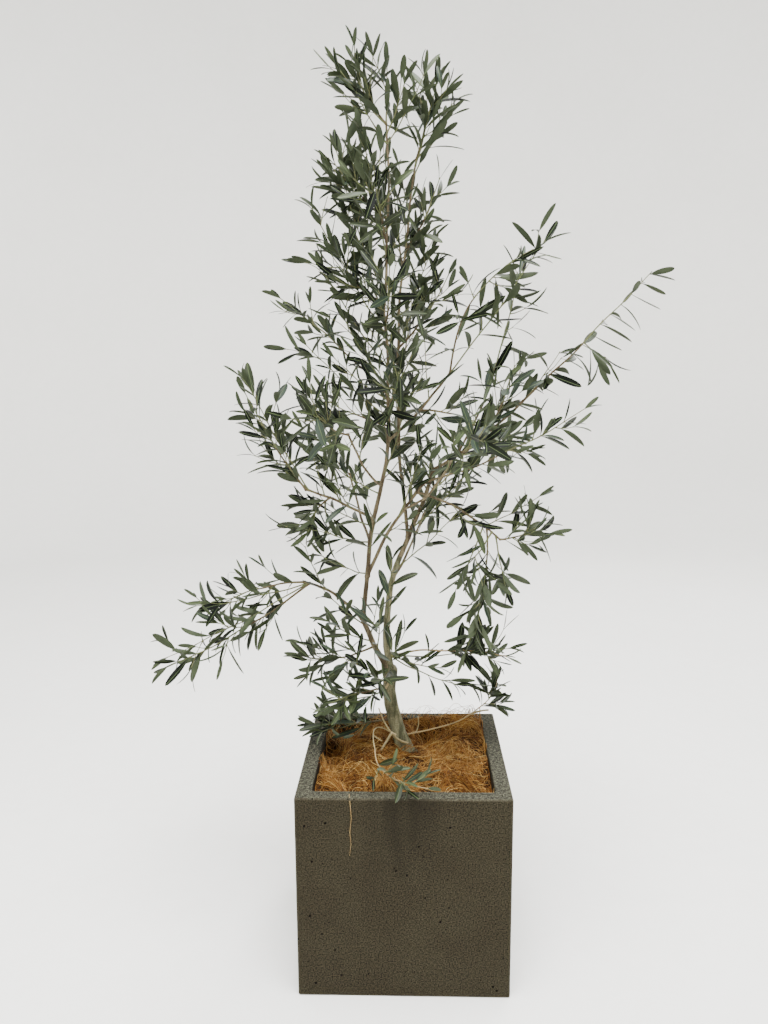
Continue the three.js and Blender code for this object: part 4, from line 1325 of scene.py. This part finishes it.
def patchy_tone_group():
    """Two colours in patches, with a fine light and dark grain. Stretch makes them streaks."""
    colour, number = "NodeSocketColor", "NodeSocketFloat"
    tree = new_group("patchy tone", {
        "Colour": colour, "Patch Colour": colour, "Patch Scale": number, "Patch Amount": number,
        "Grain Scale": number, "Grain Amount": number, "Stretch": "NodeSocketVector",
    }, {"Colour": colour})
    given = tree.nodes.new("NodeGroupInput").outputs
    place = place_in(tree)
    streaked = vectors(tree, "MULTIPLY", place, given["Stretch"])
    patches = ramp(tree, noise_at(tree, streaked, given["Patch Scale"], 3.0), *PATCH_RANGE)
    share = maths(tree, "MULTIPLY", patches, given["Patch Amount"])
    blended = blend(tree, share, given["Colour"], given["Patch Colour"])
    grain = ramp(tree, noise_at(tree, place, given["Grain Scale"], 2.0), *GRAIN_RANGE)
    lighter = maths(tree, "MULTIPLY_ADD", grain, given["Grain Amount"], 1.0)
    shaded = node(tree, "ShaderNodeHueSaturation", 0, {"Value": lighter, "Color": blended})
    tree.links.new(shaded, tree.nodes.new("NodeGroupOutput").inputs[0])
    return tree


def fine_relief_group():
    """Heights of two sizes of grain, for a Bump node."""
    number = "NodeSocketFloat"
    tree = new_group("fine relief", {
        "Coarse Scale": number, "Fine Scale": number, "Fine Share": number,
    }, {"Height": number})
    given = tree.nodes.new("NodeGroupInput").outputs
    place = place_in(tree)
    coarse = noise_at(tree, place, given["Coarse Scale"], 4.0)
    fine = noise_at(tree, place, given["Fine Scale"], 2.0)
    mixed = {0: given["Fine Share"], 2: coarse, 3: fine}
    height = node(tree, "ShaderNodeMix", 0, mixed, data_type="FLOAT")
    tree.links.new(height, tree.nodes.new("NodeGroupOutput").inputs[0])
    return tree


PATCHY_TONE = patchy_tone_group()
FINE_RELIEF = fine_relief_group()


def tone(colour, patch, patch_scale, patch_amount, grain_scale, grain_amount, stretch=(1, 1, 1)):
    return {
        "Colour": linear(*colour), "Patch Colour": linear(*patch), "Patch Scale": patch_scale,
        "Patch Amount": patch_amount, "Grain Scale": grain_scale, "Grain Amount": grain_amount,
        "Stretch": stretch,
    }


def relief_of(coarse, fine, share):
    return {"Coarse Scale": coarse, "Fine Scale": fine, "Fine Share": share}


def toned(tree, tone):
    return node(tree, "ShaderNodeGroup", 0, tone, node_tree=PATCHY_TONE)


def finish(name, tone, relief, roughness, depth, specular=0.5):
    """A material: a patchy tone, a fine relief of the given depth in mm, and its gloss."""
    material = bpy.data.materials.new(name)
    material.use_nodes = True
    tree = material.node_tree
    shader = tree.nodes["Principled BSDF"].inputs
    shader["Roughness"].default_value = roughness
    shader["Specular IOR Level"].default_value = specular
    height = node(tree, "ShaderNodeGroup", 0, relief, node_tree=FINE_RELIEF)
    bump = {"Height": height, "Distance": depth * MM, "Strength": 1.0}
    tree.links.new(toned(tree, tone), shader["Base Color"])
    tree.links.new(node(tree, "ShaderNodeBump", 0, bump), shader["Normal"])
    return material


LEAF_RELIEF = relief_of(260.0, 900.0, 0.35)
BARK_RELIEF = relief_of(240.0, 1100.0, 0.4)
COIR_RELIEF = relief_of(170.0, 900.0, 0.5)
STONE_RELIEF = relief_of(420.0, 1300.0, 0.4)

# Leaves: each tone's colour, that of its patches, and its specular level. The dark and deep tones are
# near black, partly the leaves' own dark green and partly painted shade.
LEAF_COLOURS = dict(
    dark_leaf_and_shade=((13, 19, 9), (22, 28, 14), 0.12),
    deep_leaf_and_shade=((6, 10, 5), (12, 18, 9), 0.1),
    mid_leaf=((30, 37, 20), (40, 46, 26), 0.2),
    bluish_leaf=((39, 49, 37), (28, 40, 30), 0.26),
    young_leaf=((55, 64, 39), (44, 53, 31), 0.24),
)
leaf_materials = [
    finish(name, tone(colour, patch, 14.0, 0.8, 420.0, 0.12), LEAF_RELIEF, 0.48, 0.18, specular)
    for name, (colour, patch, specular) in LEAF_COLOURS.items()
]
leaf_materials += [
    finish("leaf_rib", tone((76, 90, 52), (62, 76, 44), 30.0, 0.6, 500.0, 0.1),
           # The underside is darker than its own silvery colour: painted shade, as of leaves seen
           # against the light.
           LEAF_RELIEF, 0.5, 0.15, specular=0.3),
    finish("leaf_underside_and_shade", tone((60, 68, 47), (42, 50, 33), 18.0, 0.7, 600.0, 0.1),
           LEAF_RELIEF, 0.62, 0.15, specular=0.2),
]
twig_materials = [
    finish("older_twig", tone((72, 60, 40), (92, 84, 58), 45.0, 0.8, 500.0, 0.2),
           BARK_RELIEF, 0.7, 0.4, specular=0.25),
    finish("young_twig", tone((84, 92, 56), (98, 94, 64), 40.0, 0.7, 500.0, 0.14),
           BARK_RELIEF, 0.62, 0.3, specular=0.25),
    finish("pale_twig", tone((144, 120, 78), (108, 92, 58), 40.0, 0.8, 500.0, 0.2),
           BARK_RELIEF, 0.68, 0.3),
]
STREAKS = (1, 1, 0.16)
bark_materials = [
    finish("trunk_bark", tone((68, 69, 50), (126, 122, 94), 130.0, 0.9, 420.0, 0.28, STREAKS),
           BARK_RELIEF, 0.78, 0.7, specular=0.2),
    finish("stem_bark", tone((66, 56, 40), (112, 102, 78), 120.0, 0.85, 420.0, 0.26, STREAKS),
           BARK_RELIEF, 0.74, 0.5, specular=0.2),
    finish("pale_bark", tone((152, 136, 96), (112, 102, 70), 42.0, 0.8, 420.0, 0.2),
           BARK_RELIEF, 0.72, 0.4),
    finish("cut_wood", tone((214, 198, 160), (190, 170, 128), 300.0, 0.8, 900.0, 0.14),
           BARK_RELIEF, 0.8, 0.25),
]

# Fibres: each one's colour, that of its patches, its grain, roughness and specular level
FIBRE_COLOURS = dict(
    pale_fibre=((190, 162, 104), (168, 134, 76), 0.14, 0.62, 0.25),
    straw_fibre=((164, 126, 64), (134, 95, 41), 0.16, 0.62, 0.25),
    orange_fibre=((120, 79, 28), (140, 98, 42), 0.16, 0.66, 0.2),
    brown_fibre=((92, 54, 16), (116, 74, 26), 0.18, 0.7, 0.15),
    dark_fibre=((46, 26, 8), (70, 42, 14), 0.2, 0.72, 0.1),
)
fibre_materials = [
    finish(name, tone(colour, patch, 60.0, 0.8, 700.0, grain), COIR_RELIEF, rough, 0.2, specular)
    for name, (colour, patch, grain, rough, specular) in FIBRE_COLOURS.items()
]
bedding_material = finish(
    "coir_bedding", tone((52, 32, 10), (26, 15, 5), 55.0, 0.9, 520.0, 0.3), COIR_RELIEF, 0.9, 2.0,
    specular=0.1)
soil_material = finish(
    "soil", tone((58, 44, 34), (36, 28, 22), 60.0, 0.9, 400.0, 0.3), COIR_RELIEF, 0.95, 2.5)
# Inside the pinholes and chips: near black, painted shade in the recesses.
pit_shade_material = finish(
    "pinhole", tone((5, 4, 3), (9, 8, 6), 80.0, 0.8, 500.0, 0.3), STONE_RELIEF, 0.95, 0.3,
    specular=0.05)

# Stone: the face's, rim's, worn edges' and damp's colours, the rim's paler partly in its own tone and
# partly as painted light from above; where the damp patch ends across and down the front, and where
# the rim and the edges begin and end, in metres; and how raggedly the damp shows, and how strongly
# the damp and the edges do
STONE_FACE = tone((37, 33, 22), (44, 41, 29), 12.0, 0.4, 390.0, 1.05)
STONE_RIM_AND_LIGHT = tone((68, 67, 55), (24, 24, 19), 170.0, 0.9, 390.0, 1.2)
WORN_COLOUR = linear(62, 57, 44)
DAMP_COLOUR = linear(18, 15, 7)
DAMP_ACROSS = (0.085, 0.02)
DAMP_DOWN = (0.2, 0.39)
DAMP_FRONT = (-0.196, -0.199)
DAMP_SCALE = (34.0, 34.0, 7.0)
DAMP_RANGE = (0.25, 0.6, 0.25, 1.5)
DAMP_SHARE = 0.6
RIM_HEIGHTS = (0.3965, 0.3995)
WORN_EDGES = (0.1955, 0.1992)
WORN_SHARE = 0.6


def damp_mask(tree):
    """Where the front is damp: a ragged patch that runs down from the middle of the rim."""
    place = place_in(tree)
    x, y, z = axes_of(tree, place)
    stretched = node(tree, "ShaderNodeMapping", 0, {"Vector": place, "Scale": DAMP_SCALE})
    ragged = ramp(tree, noise_at(tree, stretched, 1.0, 4.0), *DAMP_RANGE)
    narrow = ramp(tree, maths(tree, "ABSOLUTE", x), *DAMP_ACROSS)
    patch = maths(tree, "MULTIPLY", narrow, ramp(tree, z, *DAMP_DOWN))
    torn = maths(tree, "MULTIPLY", patch, ragged)
    return maths(tree, "MULTIPLY", torn, ramp(tree, y, *DAMP_FRONT), clamp=True)


def edge_mask(tree):
    """Where the planter's outer edges are: two of the three sizes of a place are at their most."""
    centred = vectors(tree, "ADD", place_in(tree), (0.0, 0.0, -PLANTER_HEIGHT / 2 * MM))
    x, y, z = axes_of(tree, vectors(tree, "ABSOLUTE", centred))
    most = maths(tree, "MINIMUM", x, y)
    for pair in ((y, z), (x, z)):
        most = maths(tree, "MAXIMUM", most, maths(tree, "MINIMUM", *pair))
    return ramp(tree, most, *WORN_EDGES)


def stone_finish():
    """Fibre stone: a dark grey face with a fine speckle, a rim paler in its own tone and in painted
    light from above, paler worn edges, and damp.
    """
    material = finish("fibre_stone", STONE_FACE, STONE_RELIEF, 0.86, 0.7, specular=0.12)
    tree = material.node_tree
    base = tree.nodes["Principled BSDF"].inputs["Base Color"]
    height = axes_of(tree, place_in(tree))[2]
    # Where the rim is, its paler tone: partly its own and partly painted light from above.
    rim_and_light_share = ramp(tree, height, *RIM_HEIGHTS)
    rim = blend(tree, rim_and_light_share, base.links[0].from_socket, toned(tree, STONE_RIM_AND_LIGHT))
    worn = maths(tree, "MULTIPLY", edge_mask(tree), WORN_SHARE)
    damp = maths(tree, "MULTIPLY", damp_mask(tree), DAMP_SHARE)
    edged = blend(tree, worn, rim, WORN_COLOUR)
    tree.links.new(blend(tree, damp, edged, DAMP_COLOUR), base)
    return material


# Pieces, the growth in three layers by the height of its masses' tips
LAYERS = dict(top=(1340, math.inf), middle=(1000, 1340), low=(0, 1000))
planter_piece("stone_planter", stone_finish(), pit_shade_material)
bedding_piece("coir_bedding", bedding_material)
fibre_piece("coir_fibres", fibre_materials, [OVER_THE_RIM])
fibre_piece("coir_fibres_loose", fibre_materials)
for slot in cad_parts["soil"].material_slots:
    slot.material = soil_material
bark_piece("trunk_and_boughs", bark_materials)
for layer, (bottom, top) in LAYERS.items():
    group = [mass for mass in masses if bottom < mass.curve.tip[2] <= top]
    twig_piece("twigs_" + layer, group, twig_materials)
    leaf_piece("leaves_" + layer, group, leaf_materials)

# Pale floor that rises into a round wall, out of the way of every camera, in metres
FLOOR_RADIUS = 4.2
FLOOR_RINGS = (0.02, 1.0, 2.6)
FLOOR_SUNK = 0.0004
WALL_BEND = 1.2
WALL_BEND_STEPS = 10
WALL_TOP = 5.2
STAGE_SIDES = 72
bend = [(FLOOR_RADIUS + WALL_BEND * math.sin(a), WALL_BEND * (1 - math.cos(a)))
        for a in np.linspace(0, QUARTER_TURN, WALL_BEND_STEPS)]
profile = [*[(r, 0) for r in FLOOR_RINGS], *bend, (FLOOR_RADIUS + WALL_BEND, WALL_TOP)]
rings = [[(r * math.cos(a), r * math.sin(a), z - FLOOR_SUNK) for a in full_turn(STAGE_SIDES)]
         for r, z in profile]
stage_faces = ring_faces(len(rings), STAGE_SIDES).tolist() + [list(range(STAGE_SIDES))]
stage = piece("pale_stage", np.concatenate(rings) / MM, stage_faces, [
    finish("pale_stage", tone((244, 243, 239), (240, 239, 234), 1.5, 0.6, 20.0, 0.01),
           STONE_RELIEF, 0.8, 0.02, specular=0.2)])


def soft_light(name, place, target, size, power):
    data = bpy.data.lights.new(name, "AREA")
    data.shape = "DISK"
    data.size = size
    data.energy = power
    lamp = bpy.data.objects.new(name, data)
    lamp.location = place
    lamp.rotation_euler = (Vector(target) - Vector(place)).to_track_quat("-Z", "Y").to_euler()
    bpy.context.scene.collection.objects.link(lamp)


soft_light("ceiling_light", (0.1, -0.9, 4.3), (0, 0, 0.6), 2.6, 530)
soft_light("front_fill", (-2.3, -3.1, 2.2), (0, 0, 0.9), 2.2, 60)
soft_light("back_fill", (2.0, 3.0, 3.0), (0, 0, 0.9), 2.2, 105)
world = bpy.data.worlds.new("pale_room")
world.use_nodes = True
background = world.node_tree.nodes["Background"].inputs
background["Color"].default_value = (0.93, 0.95, 1, 1)
background["Strength"].default_value = 0.85
bpy.context.scene.world = world

# Camera, as the photograph was taken: its place in metres, its turns and its lens
CAMERA_PLACE = (0.0118, -1.6652, 1.1726)
CAMERA_YAW = -0.0298
CAMERA_DOWN = 0.1647
CAMERA_ROLL = 0.0062
CAMERA_LENS = 30.435
SENSOR_WIDTH = 36
ahead = Vector((math.cos(CAMERA_DOWN) * math.sin(CAMERA_YAW),
                math.cos(CAMERA_DOWN) * math.cos(CAMERA_YAW), -math.sin(CAMERA_DOWN)))
level = Vector((math.cos(CAMERA_YAW), -math.sin(CAMERA_YAW), 0))
upward = level.cross(ahead)
right = math.cos(CAMERA_ROLL) * level - math.sin(CAMERA_ROLL) * upward
above = math.sin(CAMERA_ROLL) * level + math.cos(CAMERA_ROLL) * upward
lens = bpy.data.cameras.new("camera")
lens.lens = CAMERA_LENS
lens.sensor_width = SENSOR_WIDTH
camera = bpy.data.objects.new("camera", lens)
turn = Matrix((right, above, -ahead)).transposed().to_4x4()
camera.matrix_world = Matrix.Translation(CAMERA_PLACE) @ turn
bpy.context.scene.collection.objects.link(camera)
bpy.context.scene.camera = camera
